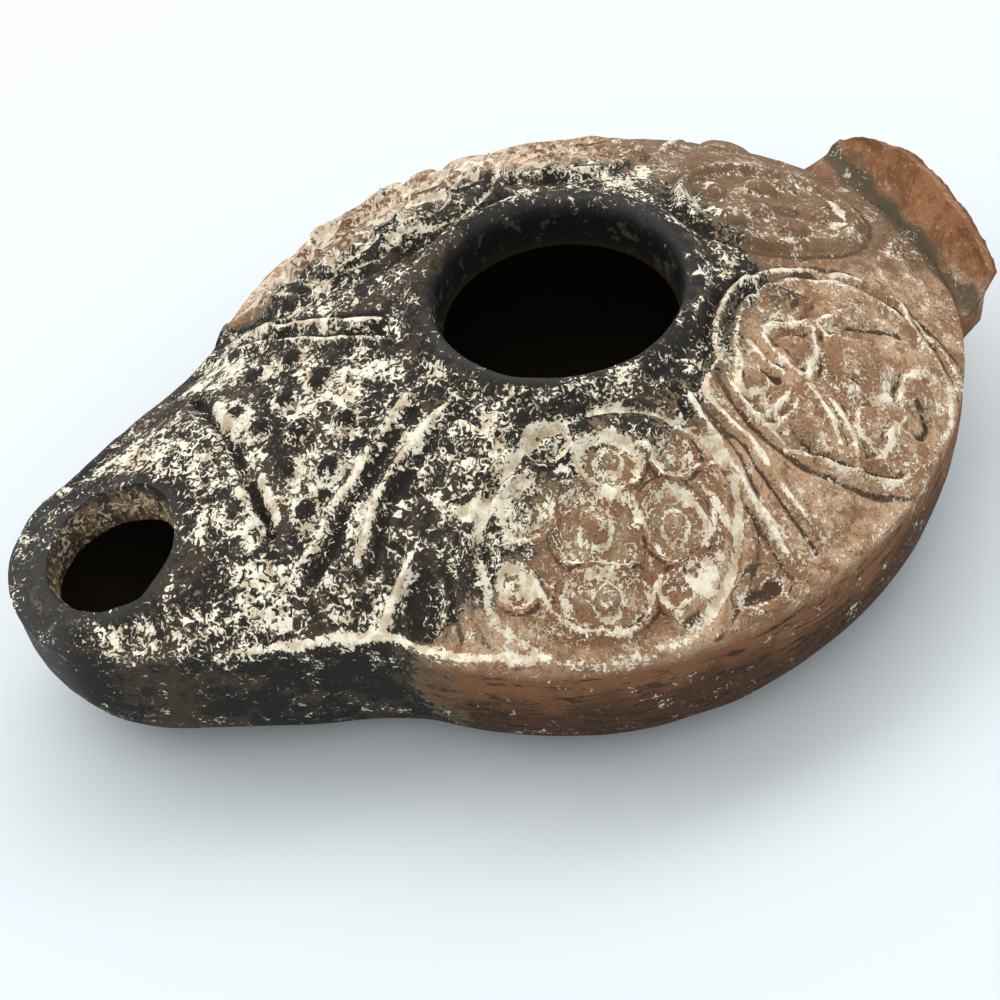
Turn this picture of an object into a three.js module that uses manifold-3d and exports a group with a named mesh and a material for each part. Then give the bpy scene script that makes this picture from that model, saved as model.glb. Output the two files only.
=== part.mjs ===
// A mould-made terracotta oil lamp, fired as one piece: a rounded reservoir with a filling
// hole in a raised ring, a nozzle with a wick hole, a broken lug handle at the back, and
// moulded relief on the shoulder. Millimetres, +Z up. The lamp stands on z = 0, the nozzle
// points along -Y and the handle along +Y.
//
// Plan positions are given from the centre of the filling hole, and the finished body is
// moved at the end so that the middle of its length is at the origin. Angles in plan are
// measured at the filling hole, from the nozzle's direction towards +X.

import * as THREE from 'three';
import { mergeVertices } from 'three/addons/utils/BufferGeometryUtils.js';
import Module from 'manifold-3d';

const wasm = await Module();
wasm.setup();

// Plan of the shoulder edge, where the two halves of the mould met.
// The lamp is a little narrower and longer on its left side, as pressed clay comes out.
const BODY_RIGHT = 34.9;
const BODY_LEFT = 34.3;
const BODY_FRONT = { right: 34.9, left: 36.2 };
const BODY_BACK = 38.4;
const BACK_SKEW = 0.03;
const NOZZLE_TIP = { x: 0.2, y: -42.7, radius: 12.9 };
const NOZZLE_ROOT = { x: 0.5, y: -30.1, radius: 18.5 };
const EDGE_BLEND = 5.0;
const FOOT_BLEND = 14.0;

// Where the filling hole's centre stands from the middle of the lamp's width and length.
const HOLE_CENTRE = { x: -0.15, y: 6.5 };

// Heights of the shoulder edge and of the ring round the filling hole.
const EDGE_NOZZLE = 15.7;
const EDGE_SIDE = 16.0;
const EDGE_BACK = 15.0;
const CREST_HEIGHT = 28.3;
const TOP_INNER_RADIUS = 14.7;
const TOP_INNER_HEIGHT = 26.7;
const TOP_BULGE = 1.5;

// Bowl below the edge, down to a low standing ring.
const BASE_SHARE = { body: 0.69, nozzle: 0.66 };
const BOWL_FULLNESS = { body: 3.0, nozzle: 2.9 };
const STANDING_RING = 3.2;
const BASE_RECESS = 0.7;

// The hollow inside.
const WALL = 3.3;
const ROOF = 3.6;
const FLOOR = 3.4;
const THROAT_RADIUS = 11.0;
const WICK_HOLE = { y: -46.6, radius: 7.1, radiusBelow: 5.8, dish: 2.4 };

// Lug handle: a low, wide fan behind the shoulder, its near end broken to a corner that
// reaches back a little less and is a little lower.
const LUG = { left: -16.4, right: 10.9, reach: 42.6, foot: 38.4, top: 20.5, waist: 12.5, under: 8.0 };
const LUG_CORNER = { shorter: 1.5, lower: 0.9 };

// Relief: moulded ribs are low ridges, bosses are low domes.
const RIB = { width: 1.5, height: 0.75 };
const FINE_RIB = { width: 1.15, height: 0.6 };
const SINK = 0.7;

// Ring round the filling hole, from the foot of its outer side over the crest and down
// into the throat: [radius, height].
const HOLE_RING = [
  [14.2, 27.3],
  [13.6, 28.0],
  [12.8, CREST_HEIGHT],
  [12.0, 28.1],
  [11.5, 27.2],
  [11.2, 25.4],
];

// Steps of the faceted surface.
const COLUMNS = 46;
const NOZZLE_CROWDING = 0.45;
const TOP_STEPS = 6;
const BOWL_STEPS = 5;
const HOLLOW_STEPS = 3;

const smoothMin = (a, b, k) => {
  const h = Math.max(k - Math.abs(a - b), 0) / k;
  return Math.min(a, b) - (h * h * k) / 4;
};

// Distance from a line of discs whose radius runs from one end to the other.
function taperedDisc(x, y, from, to) {
  const length = Math.abs(to.y - from.y);
  const sine = (to.radius - from.radius) / length;
  const cosine = Math.sqrt(1 - sine * sine);
  const along = (y - from.y) * Math.sign(to.y - from.y);
  const across = Math.abs(x - from.x);
  const s = along * cosine + across * sine;
  if (s < 0) return Math.hypot(across, along) - from.radius;
  if (s > length * cosine) return Math.hypot(across, along - length) - to.radius;
  return across * cosine - along * sine - from.radius;
}

// Plan outline as a field: below zero inside, zero on the shoulder edge.
function planField(x, y, blend) {
  const across = x > 0 ? x + BACK_SKEW * Math.max(y, 0) : x;
  const sideways = x > 0 ? BODY_RIGHT : BODY_LEFT;
  const front = x > 0 ? BODY_FRONT.right : BODY_FRONT.left;
  const lengthways = y > 0 ? BODY_BACK : front;
  const body = (Math.hypot(across / sideways, y / lengthways) - 1) * sideways;
  return smoothMin(body, taperedDisc(x, y, NOZZLE_TIP, NOZZLE_ROOT), blend);
}

// How far the outline, moved in by an inset, is from the hole's centre at an angle.
function outlineRadius(angle, inset = 0, blend = EDGE_BLEND) {
  let low = 0;
  let high = 80;
  for (let i = 0; i < 40; i += 1) {
    const r = (low + high) / 2;
    if (planField(r * Math.sin(angle), -r * Math.cos(angle), blend) < -inset) low = r;
    else high = r;
  }
  return low;
}

const nozzleShare = (angle) => ((1 + Math.cos(angle)) / 2) ** 4;
const backShare = (angle) => ((1 - Math.cos(angle)) / 2) ** 4;

function edgeHeight(angle) {
  const towardsNozzle = (EDGE_NOZZLE - EDGE_SIDE) * nozzleShare(angle);
  const towardsBack = (EDGE_BACK - EDGE_SIDE) * backShare(angle);
  return EDGE_SIDE + towardsNozzle + towardsBack;
}

// A value that runs from the body's to the nozzle's, and the bowl's curve with it: how high
// each step stands, and how much of the way out from the foot to the edge it has come.
const between = ({ body, nozzle }, angle) => body + (nozzle - body) * nozzleShare(angle) ** 2;
const bowlRise = (share) => share ** 1.6;

function bowlSwell(rise, angle) {
  const fullness = between(BOWL_FULLNESS, angle);
  return (1 - (1 - rise) ** fullness) ** (1 / fullness);
}

// Height of the lamp's upper side above a plan point, without relief.
function topHeight(x, y) {
  const angle = Math.atan2(x, -y);
  const t = (Math.hypot(x, y) - TOP_INNER_RADIUS) / (outlineRadius(angle) - TOP_INNER_RADIUS);
  const straight = TOP_INNER_HEIGHT + (edgeHeight(angle) - TOP_INNER_HEIGHT) * t;
  return straight + TOP_BULGE * 4 * t * (1 - t) * (1 - 0.6 * nozzleShare(angle));
}

function geometryOf(points, triangles) {
  const geometry = new THREE.BufferGeometry();
  geometry.setAttribute('position', new THREE.Float32BufferAttribute(points.flat(), 3));
  geometry.setIndex(triangles.flat());
  return geometry;
}

function solidOf(geometry) {
  const bare = geometry.clone();
  bare.deleteAttribute('normal');
  bare.deleteAttribute('uv');
  const merged = mergeVertices(bare, 1e-4);
  const mesh = new wasm.Mesh({
    numProp: 3,
    vertProperties: Float32Array.from(merged.attributes.position.array),
    triVerts: Uint32Array.from(merged.index.array),
  });
  return new wasm.Manifold(mesh);
}

// Rings of points in a stack, joined to the next ring, with a single point at each end.
function closedStack(start, rings, end) {
  const around = rings[0].length;
  const points = [start, ...rings.flat(), end];
  const last = points.length - 1;
  const triangles = [];
  for (let i = 0; i < around; i += 1) {
    const next = (i + 1) % around;
    triangles.push([0, 1 + next, 1 + i]);
    for (let k = 0; k + 1 < rings.length; k += 1) {
      const here = 1 + k * around;
      const above = here + around;
      triangles.push([here + i, here + next, above + next]);
      triangles.push([here + i, above + next, above + i]);
    }
    const top = 1 + (rings.length - 1) * around;
    triangles.push([top + i, top + next, last]);
  }
  return geometryOf(points, triangles);
}

// The lamp's wall in section at one angle, from the underside round the outside, over the
// ring, through the throat and round the hollow: [radius, height].
function wallSection(angle) {
  const edge = outlineRadius(angle);
  const height = edgeHeight(angle);
  const share = between(BASE_SHARE, angle);
  const foot = outlineRadius(angle, 0, FOOT_BLEND) * share;
  const section = [[foot - STANDING_RING - BASE_RECESS, BASE_RECESS], [foot - STANDING_RING, 0], [foot, 0]];
  for (let k = 1; k <= BOWL_STEPS; k += 1) {
    const rise = bowlRise(k / BOWL_STEPS);
    section.push([foot + (edge - foot) * bowlSwell(rise, angle), height * rise]);
  }
  for (let k = 1; k <= TOP_STEPS; k += 1) {
    const r = edge + (TOP_INNER_RADIUS - edge) * (k / TOP_STEPS);
    section.push([r, topHeight(r * Math.sin(angle), -r * Math.cos(angle))]);
  }
  section.push(...HOLE_RING);
  section.push([THROAT_RADIUS, TOP_INNER_HEIGHT - ROOF]);
  const inner = outlineRadius(angle, WALL);
  for (let k = 1; k <= HOLLOW_STEPS; k += 1) {
    const r = THROAT_RADIUS + (inner - THROAT_RADIUS) * (k / HOLLOW_STEPS);
    const cover = Math.max(r, TOP_INNER_RADIUS);
    section.push([r, topHeight(cover * Math.sin(angle), -cover * Math.cos(angle)) - ROOF]);
  }
  const shelf = section[section.length - 1][1];
  const innerFoot = Math.min(inner, outlineRadius(angle, WALL, FOOT_BLEND)) * share;
  for (let k = HOLLOW_STEPS - 1; k >= 0; k -= 1) {
    const rise = bowlRise(k / HOLLOW_STEPS);
    const swell = bowlSwell(rise, angle);
    section.push([innerFoot + (inner - innerFoot) * swell, FLOOR + (shelf - FLOOR) * rise]);
  }
  return section;
}

function lampShell() {
  const columns = [];
  for (let i = 0; i < COLUMNS; i += 1) {
    const even = (i / COLUMNS) * 2 * Math.PI;
    const angle = even - NOZZLE_CROWDING * Math.sin(even);
    const section = wallSection(angle);
    columns.push(section.map(([r, z]) => [r * Math.sin(angle), -r * Math.cos(angle), z]));
  }
  const rings = columns[0].map((_, k) => columns.map((column) => column[k]));
  return solidOf(closedStack([0, 0, BASE_RECESS], rings, [0, 0, FLOOR]));
}

// The wick hole is dished at its rim and narrows towards the hollow.
function wickHole() {
  const above = EDGE_NOZZLE + 10;
  const below = FLOOR + 4;
  const rim = topHeight(0, WICK_HOLE.y);
  const profile = [
    new THREE.Vector2(0, below),
    new THREE.Vector2(WICK_HOLE.radiusBelow, below),
    new THREE.Vector2(WICK_HOLE.radiusBelow, rim - WICK_HOLE.dish),
    new THREE.Vector2(WICK_HOLE.radius, rim),
    new THREE.Vector2(WICK_HOLE.radius + 0.3, above),
    new THREE.Vector2(0, above),
  ];
  const turned = new THREE.LatheGeometry(profile, 28);
  turned.rotateX(Math.PI / 2);
  turned.translate(0, WICK_HOLE.y, 0);
  return solidOf(turned);
}

// The lug's section in the lengthways plane, at a share of its width from -1 to 1. Its far
// side fades out roundly and its near side keeps its height as far as the broken corner,
// where it is thin underneath.
function lugSection(share) {
  const x = (LUG.left + LUG.right) / 2 + (share * (LUG.right - LUG.left)) / 2;
  const fullness = share < 0 ? 2.0 : 5.0;
  const swell = (1 - Math.abs(share) ** fullness) ** (1 / fullness);
  const reachLeast = share < 0 ? 0.05 : 0.4;
  const topLeast = share < 0 ? 0.0 : 0.72;
  const corner = Math.max(share, 0) ** 1.5;
  const fullReach = LUG.reach - LUG_CORNER.shorter * corner - LUG.foot;
  const fullTop = LUG.top - LUG_CORNER.lower * corner - EDGE_BACK;
  const reach = LUG.foot + fullReach * (reachLeast + (1 - reachLeast) * swell);
  const top = EDGE_BACK + fullTop * (topLeast + (1 - topLeast) * swell);
  const slope = LUG.foot + (reach - LUG.foot) * 0.5;
  const hidden = LUG.foot - 6;
  const belly = swell ** 0.5;
  return [
    [x, hidden, EDGE_BACK - 1.5],
    [x, LUG.foot - 0.6, EDGE_BACK + 0.1],
    [x, slope, (EDGE_BACK + top) / 2 + 1.1],
    [x, Math.max(reach - 1.3, slope + 0.1), top],
    [x, reach, top - 0.9],
    [x, reach - 1.2, top - 3.0],
    [x, LUG.foot - 0.6 + 1.4 * belly, LUG.waist + 1.5 * (1 - belly)],
    [x, hidden + 1.5, LUG.under + 3 * (1 - belly)],
  ];
}

function lug() {
  const stations = 14;
  const rings = [];
  for (let i = 0; i <= stations; i += 1) rings.push(lugSection((2 * i) / stations - 1));
  const middleOf = (ring) => [ring[0][0], LUG.foot - 0.4, EDGE_BACK - 0.15];
  const outward = rings.map((ring) => ring.slice().reverse());
  return solidOf(closedStack(middleOf(rings[0]), outward, middleOf(rings[stations])));
}

// A low ridge with a triangular section that follows the shoulder along plan points.
function ridge(plan, { width, height }, closed) {
  const count = plan.length;
  const points = [];
  for (let i = 0; i < count; i += 1) {
    const before = plan[closed ? (i + count - 1) % count : Math.max(i - 1, 0)];
    const after = plan[closed ? (i + 1) % count : Math.min(i + 1, count - 1)];
    const length = Math.hypot(after[0] - before[0], after[1] - before[1]);
    const across = [(after[1] - before[1]) / length, (before[0] - after[0]) / length];
    const [x, y] = plan[i];
    const foot = width / 2 + SINK * 0.6;
    const right = [x + across[0] * foot, y + across[1] * foot];
    const left = [x - across[0] * foot, y - across[1] * foot];
    points.push([...right, topHeight(...right) - SINK]);
    points.push([x, y, topHeight(x, y) + height]);
    points.push([...left, topHeight(...left) - SINK]);
  }
  const triangles = [];
  for (let i = 0; i < (closed ? count : count - 1); i += 1) {
    const here = i * 3;
    const next = ((i + 1) % count) * 3;
    for (let k = 0; k < 3; k += 1) {
      const k2 = (k + 1) % 3;
      triangles.push([here + k, next + k, next + k2]);
      triangles.push([here + k, next + k2, here + k2]);
    }
  }
  if (!closed) {
    const end = (count - 1) * 3;
    triangles.push([0, 1, 2]);
    triangles.push([end, end + 2, end + 1]);
  }
  return solidOf(geometryOf(points, triangles));
}

// Plan points of a smooth stroke through a few given points.
function stroke(given, steps) {
  const curve = new THREE.CatmullRomCurve3(given.map(([x, y]) => new THREE.Vector3(x, y, 0)));
  return curve.getSpacedPoints(steps).map((p) => [p.x, p.y]);
}

// Plan points of a closed cell: an ellipse whose sides can be squared or pinched.
function loop({ x, y, long, wide, turn = 0, square = 2 }, steps) {
  const points = [];
  for (let i = 0; i < steps; i += 1) {
    const a = (i / steps) * 2 * Math.PI;
    const reach = (Math.abs(Math.cos(a)) ** square + Math.abs(Math.sin(a)) ** square) ** (-1 / square);
    const u = long * reach * Math.cos(a);
    const v = wide * reach * Math.sin(a);
    points.push([x + u * Math.cos(turn) - v * Math.sin(turn), y + u * Math.sin(turn) + v * Math.cos(turn)]);
  }
  return points;
}

// A boss: a low faceted dome standing on the shoulder.
function boss(x, y, radius) {
  const sides = 6;
  const ringAt = (r, rise) => {
    const ring = [];
    for (let i = 0; i < sides; i += 1) {
      const a = (i / sides) * 2 * Math.PI;
      const px = x + r * Math.cos(a);
      const py = y + r * Math.sin(a);
      ring.push([px, py, topHeight(px, py) + rise]);
    }
    return ring;
  };
  const height = 0.35 + radius * 0.35;
  const bottom = [x, y, topHeight(x, y) - SINK];
  const top = [x, y, topHeight(x, y) + height];
  const rings = [ringAt(radius * 1.1, -SINK), ringAt(radius * 0.6, height * 0.85)];
  return solidOf(closedStack(bottom, rings, top));
}

// Medallions of the shoulder. Each has a border ring and cells with bosses inside.
const FRONT_MEDALLION = {
  border: { x: 23.2, y: -8.0, long: 10.1, wide: 10.1 },
  cells: [
    { x: 24.2, y: -8.8, long: 2.9, wide: 2.5, square: 3, boss: 1.4 },
    { x: 19.6, y: -13.1, long: 2.5, wide: 2.1, boss: 1.2 },
    { x: 20.0, y: -5.0, long: 2.7, wide: 2.0, turn: 0.9, boss: 1.1 },
    { x: 26.4, y: -2.4, long: 2.7, wide: 2.4, square: 2.6, boss: 1.0 },
    { x: 29.2, y: -10.1, long: 2.2, wide: 3.6, boss: 1.4 },
  ],
};
const BACK_MEDALLION = {
  border: { x: 15.9, y: 20.0, long: 10.2, wide: 10.2 },
  cells: [
    { x: 9.2, y: 18.9, long: 2.6, wide: 3.4, turn: 0.2, boss: 1.2 },
    { x: 10.6, y: 25.6, long: 2.5, wide: 3.1, turn: -0.5, boss: 1.1 },
    { x: 17.6, y: 20.9, long: 3.3, wide: 3.3, boss: 1.6 },
    { x: 22.6, y: 13.0, long: 2.6, wide: 2.4, boss: 1.1 },
    { x: 23.6, y: 20.0, long: 2.3, wide: 2.4, square: 3, boss: 0.9 },
  ],
};
const REAR_MEDALLION = {
  border: { x: -6.1, y: 24.6, long: 9.7, wide: 9.3 },
  bosses: [[-6.1, 19.3], [-1.4, 20.6], [-6.2, 24.3], [-2.2, 26.4], [-10.6, 22.8], [-7.4, 29.2]],
};
const FAR_MEDALLION = {
  border: { x: -22.4, y: 11.0, long: 7.6, wide: 7.6 },
  cells: [
    { x: -22.4, y: 11.0, long: 2.5, wide: 2.5, boss: 1.3 },
    { x: -18.4, y: 8.2, long: 1.8, wide: 1.8, boss: 0.9 },
    { x: -19.4, y: 15.2, long: 1.8, wide: 1.8, boss: 0.9 },
    { x: -26.4, y: 9.0, long: 1.8, wide: 1.8, boss: 0.9 },
  ],
};

// Straight and curved ribs between the medallions and beside the nozzle panel.
const NEAR_STROKES = [
  [[12.7, -31.5], [6.6, -21.2], [4.7, -16.9]],
  [[14.1, -26.3], [8.5, -17.4], [7.1, -14.0]],
  [[16.2, -18.6], [21.5, -19.2], [26.3, -19.9]],
  [[15.9, 4.8], [20.6, 5.0], [26.2, 5.6], [32.4, 6.3]],
  [[15.2, 7.6], [20.4, 7.9], [25.2, 8.7], [30.6, 10.4]],
];
const FAR_STROKES = [
  [[-12.9, -31.2], [-7.0, -20.6], [-3.2, -16.2]],
  [[-15.4, -24.2], [-8.6, -17.2], [-6.6, -14.4]],
  [[-16.2, -18.6], [-21.5, -19.2], [-26.3, -19.9]],
  [[-15.2, 2.2], [-22.0, 2.4], [-31.8, 2.8]],
  [[-14.6, 17.4], [-18.4, 20.2], [-22.6, 24.4]],
];

// Bosses of the panel between the nozzle and the ring, in plan.
const PANEL_BOSSES = [
  [-2.8, -22.6], [2.8, -22.6], [-9.0, -23.4], [1.4, -26.4], [5.9, -26.1], [-3.3, -26.8],
  [-9.0, -26.8], [3.9, -29.2], [8.4, -29.2], [-1.9, -29.6], [-7.2, -29.2],
];
const SMALL_BOSS = 1.15;

// The straight groove that closes the panel towards the nozzle.
const GROOVE = { from: [-11.3, -32.4], to: [8.9, -32.4], width: 1.4, depth: 0.55 };

function medallion({ border, cells = [], bosses = [] }, mirror) {
  const turned = (cell) => ({ ...cell, x: cell.x * mirror, turn: (cell.turn ?? 0) * mirror });
  const solids = [ridge(loop(turned(border), 18), RIB, true)];
  for (const cell of cells) {
    solids.push(ridge(loop(turned(cell), 9), FINE_RIB, true));
    solids.push(boss(cell.x * mirror, cell.y, cell.boss));
  }
  for (const [x, y] of bosses) solids.push(boss(x * mirror, y, SMALL_BOSS));
  return solids;
}

// A V-shaped cutter that follows the surface along a straight plan line.
function groove({ from, to, width, depth }) {
  const steps = 4;
  const points = [];
  for (let i = 0; i <= steps; i += 1) {
    const x = from[0] + ((to[0] - from[0]) * i) / steps;
    const y = from[1] + ((to[1] - from[1]) * i) / steps;
    points.push([x, y - width / 2, topHeight(x, y - width / 2) + 1]);
    points.push([x, y + width / 2, topHeight(x, y + width / 2) + 1]);
    points.push([x, y, topHeight(x, y) - depth]);
  }
  const triangles = [];
  for (let i = 0; i < steps; i += 1) {
    for (let k = 0; k < 3; k += 1) {
      const here = i * 3;
      const next = here + 3;
      const k2 = (k + 1) % 3;
      triangles.push([here + k, next + k, next + k2]);
      triangles.push([here + k, next + k2, here + k2]);
    }
  }
  const end = steps * 3;
  triangles.push([0, 1, 2]);
  triangles.push([end, end + 2, end + 1]);
  return solidOf(geometryOf(points, triangles));
}

const relief = [
  ...medallion(FRONT_MEDALLION, 1),
  ...medallion(FRONT_MEDALLION, -1),
  ...medallion(BACK_MEDALLION, 1),
  ...medallion(REAR_MEDALLION, 1),
  ...medallion(FAR_MEDALLION, 1),
  ...[...NEAR_STROKES, ...FAR_STROKES].map((given) => ridge(stroke(given, 5), RIB, false)),
  ...PANEL_BOSSES.map(([x, y]) => boss(x, y, SMALL_BOSS)),
];

let lamp = lampShell().add(lug());
for (const piece of relief) lamp = lamp.add(piece);
lamp = lamp.subtract(wickHole()).subtract(groove(GROOVE));

const { vertProperties, triVerts, numProp } = lamp.getMesh();
const geometry = new THREE.BufferGeometry();
const positions = [];
for (let i = 0; i < vertProperties.length; i += numProp) positions.push(...vertProperties.slice(i, i + 3));
geometry.setAttribute('position', new THREE.Float32BufferAttribute(positions, 3));
geometry.setIndex(Array.from(triVerts));

geometry.translate(HOLE_CENTRE.x, HOLE_CENTRE.y, 0);
geometry.computeVertexNormals();

const terracotta = new THREE.MeshStandardMaterial({ color: 0x8a6246, roughness: 0.9, metalness: 0 });
const body = new THREE.Mesh(geometry, terracotta);
body.name = 'lamp_body';

const object = new THREE.Group();
object.add(body);
export default object;
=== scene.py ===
# %% [markdown]
# # A mould-made clay oil lamp
# The lamp was pressed in two half moulds, joined while wet and fired as one piece. The packed
# CAD solid already has its true outline, walls and main relief. This lesson builds the same
# form again as one fine mesh, so that worn relief, a broken handle, soot and lime can be seen.

import math

import bpy
import numpy as np
from mathutils import Matrix, Vector, noise


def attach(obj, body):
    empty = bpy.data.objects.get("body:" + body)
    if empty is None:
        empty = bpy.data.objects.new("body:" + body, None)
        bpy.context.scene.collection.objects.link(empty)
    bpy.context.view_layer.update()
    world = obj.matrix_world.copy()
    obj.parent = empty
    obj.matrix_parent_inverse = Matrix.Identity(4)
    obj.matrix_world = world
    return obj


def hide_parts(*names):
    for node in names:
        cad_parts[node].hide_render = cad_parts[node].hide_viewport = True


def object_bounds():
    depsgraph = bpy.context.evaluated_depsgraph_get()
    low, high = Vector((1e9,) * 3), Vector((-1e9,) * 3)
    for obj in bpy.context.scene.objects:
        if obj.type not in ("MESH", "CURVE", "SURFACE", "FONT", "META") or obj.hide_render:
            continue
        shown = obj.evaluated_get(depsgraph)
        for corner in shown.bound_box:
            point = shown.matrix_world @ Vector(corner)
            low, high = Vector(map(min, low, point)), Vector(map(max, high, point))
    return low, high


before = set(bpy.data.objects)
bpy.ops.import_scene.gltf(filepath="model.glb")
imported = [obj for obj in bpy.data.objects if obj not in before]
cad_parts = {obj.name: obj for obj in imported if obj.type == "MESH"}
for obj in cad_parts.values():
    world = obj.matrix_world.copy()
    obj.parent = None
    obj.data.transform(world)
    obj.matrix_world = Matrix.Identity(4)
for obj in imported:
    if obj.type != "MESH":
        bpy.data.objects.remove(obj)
cad_low, cad_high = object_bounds()
MM = 0.001
print("CAD box in mm:", [round(v / MM, 2) for v in (*cad_low, *cad_high)])

# %% [markdown]
# ## The camera
# A photograph fixes the view by its direction, distance, roll and lens. They were found by
# fitting the lamp's outline and the edges of its filling hole, which works better than moving
# a camera by hand, because all four act on the outline at the same time.

# %% Camera
VIEW = {"azimuth": 1.247, "elevation": 0.823, "roll": -0.156, "distance": 226.1}
LOOK_AT = Vector((6.51, -4.32, 11.32))
LENS = 87.3


def camera_axes(azimuth, elevation, roll):
    forward = Vector(
        (
            -math.sin(azimuth) * math.cos(elevation),
            math.cos(azimuth) * math.cos(elevation),
            -math.sin(elevation),
        )
    )
    level = Vector((math.cos(azimuth), math.sin(azimuth), 0))
    above = level.cross(forward)
    right = level * math.cos(roll) + above * math.sin(roll)
    up = above * math.cos(roll) - level * math.sin(roll)
    return right, up, forward


right, up, forward = camera_axes(VIEW["azimuth"], VIEW["elevation"], VIEW["roll"])
camera = bpy.data.objects.new("camera", bpy.data.cameras.new("camera"))
bpy.context.collection.objects.link(camera)
camera.data.lens = LENS
camera.data.sensor_width = 36
camera.data.clip_start = 0.01
turned = Matrix((right, up, -forward)).transposed().to_4x4()
camera.matrix_world = Matrix.Translation((LOOK_AT - forward * VIEW["distance"]) * MM) @ turned
bpy.context.scene.camera = camera
print("camera at", [round(v / MM, 1) for v in camera.location])

# %% [markdown]
# ## The lamp's plan
# Seen from above, the shoulder edge is a rounded body that flows into a tapered nozzle. The
# same two shapes as in the CAD solid are written here as one distance field. A field is
# handy in Blender too, because it also says how far inside the edge any point of the
# shoulder lies. Plan positions are in millimetres from the centre of the filling hole.

# %% Plan outline
BODY_RIGHT = 34.9
BODY_LEFT = 34.3
BODY_FRONT = {"right": 34.9, "left": 36.2}
BODY_BACK = 38.4
BACK_SKEW = 0.03
NOZZLE_TIP = {"x": 0.2, "y": -42.7, "radius": 12.9}
NOZZLE_ROOT = {"x": 0.5, "y": -30.1, "radius": 18.5}
EDGE_BLEND = 5.0
FOOT_BLEND = 14.0
HOLE_CENTRE = np.array([-0.15, 6.5, 0.0])


def smooth_min(a, b, k):
    h = np.maximum(k - np.abs(a - b), 0) / k
    return np.minimum(a, b) - h * h * k / 4


def tapered_disc(x, y, start, end):
    """Distance from a line of discs whose radius runs from one end to the other."""
    length = abs(end["y"] - start["y"])
    sine = (end["radius"] - start["radius"]) / length
    cosine = math.sqrt(1 - sine * sine)
    along = (y - start["y"]) * np.sign(end["y"] - start["y"])
    across = np.abs(x - start["x"])
    s = along * cosine + across * sine
    before = np.hypot(across, along) - start["radius"]
    beyond = np.hypot(across, along - length) - end["radius"]
    beside = across * cosine - along * sine - start["radius"]
    return np.where(s < 0, before, np.where(s > length * cosine, beyond, beside))


def plan_field(x, y, blend=EDGE_BLEND):
    """Below zero inside the shoulder edge, zero on it."""
    on_right = x > 0
    across = np.where(on_right, x + BACK_SKEW * np.maximum(y, 0), x)
    sideways = np.where(on_right, BODY_RIGHT, BODY_LEFT)
    front = np.where(on_right, BODY_FRONT["right"], BODY_FRONT["left"])
    body = (np.hypot(across / sideways, y / np.where(y > 0, BODY_BACK, front)) - 1) * sideways
    return smooth_min(body, tapered_disc(x, y, NOZZLE_TIP, NOZZLE_ROOT), blend)


TURN = np.linspace(-math.pi, math.pi, 2881)


def outline_table(blend):
    low = np.zeros_like(TURN)
    high = np.full_like(TURN, 80.0)
    for _ in range(36):
        r = (low + high) / 2
        inside = plan_field(r * np.sin(TURN), -r * np.cos(TURN), blend) < 0
        low = np.where(inside, r, low)
        high = np.where(inside, high, r)
    return low


EDGE_TABLE = outline_table(EDGE_BLEND)
FOOT_TABLE = outline_table(FOOT_BLEND)


def edge_radius(angle):
    """How far the shoulder edge is from the hole's centre; angle 0 is the nozzle's side."""
    return np.interp(angle, TURN, EDGE_TABLE, period=2 * math.pi)


def foot_radius(angle):
    return np.interp(angle, TURN, FOOT_TABLE, period=2 * math.pi)


print("nozzle tip at", round(float(edge_radius(0.0)), 2), "mm from the hole's centre")

# %% [markdown]
# ## Heights and sections
# The top rises from the shoulder edge to the ring round the filling hole in a gentle bulge.
# The bowl below swells out quickly from its foot. Both are short formulas of the angle, so
# the fine mesh agrees with the CAD solid everywhere.

# %% Heights of the top and the bowl
EDGE_NOZZLE = 15.7
EDGE_SIDE = 16.0
EDGE_BACK = 15.0
CREST_HEIGHT = 28.3
TOP_INNER_RADIUS = 14.7
TOP_INNER_HEIGHT = 26.7
TOP_BULGE = 1.5
BASE_SHARE = {"body": 0.69, "nozzle": 0.66}
BOWL_FULLNESS = {"body": 3.0, "nozzle": 2.9}
STANDING_RING = 3.2
BASE_RECESS = 0.7
WALL = 3.3
ROOF = 3.6
FLOOR = 3.4
THROAT_RADIUS = 11.0


def nozzle_share(angle):
    return ((1 + np.cos(angle)) / 2) ** 4


def edge_height(angle):
    back_share = ((1 - np.cos(angle)) / 2) ** 4
    towards_nozzle = (EDGE_NOZZLE - EDGE_SIDE) * nozzle_share(angle)
    return EDGE_SIDE + towards_nozzle + (EDGE_BACK - EDGE_SIDE) * back_share


def between(sizes, angle):
    return sizes["body"] + (sizes["nozzle"] - sizes["body"]) * nozzle_share(angle) ** 2


def bowl_swell(rise, angle):
    fullness = between(BOWL_FULLNESS, angle)
    return (1 - (1 - rise) ** fullness) ** (1 / fullness)


def top_height(x, y):
    """Height of the lamp's upper side, without relief."""
    angle = np.arctan2(x, -y)
    t = (np.hypot(x, y) - TOP_INNER_RADIUS) / (edge_radius(angle) - TOP_INNER_RADIUS)
    straight = TOP_INNER_HEIGHT + (edge_height(angle) - TOP_INNER_HEIGHT) * t
    return straight + TOP_BULGE * 4 * t * (1 - t) * (1 - 0.6 * nozzle_share(angle))


print("top halfway out to the near side:", round(float(top_height(25.0, 0.0)), 2), "mm")

# %% [markdown]
# ## A map for the relief
# Moulded relief is a small height added to the smooth top. It could be sculpted, or built
# from many little solids. Here it is drawn on a square map of heights, stroke by stroke, and
# the mesh is lifted by the map afterwards. More layers on the same squares keep where lime,
# dust, dirt with painted shade and bare red clay lie, so that the paint always follows the form.

# %% Relief map
SQUARE = 0.14
MAP_LEFT = -38.0
MAP_FRONT = -58.0


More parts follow.
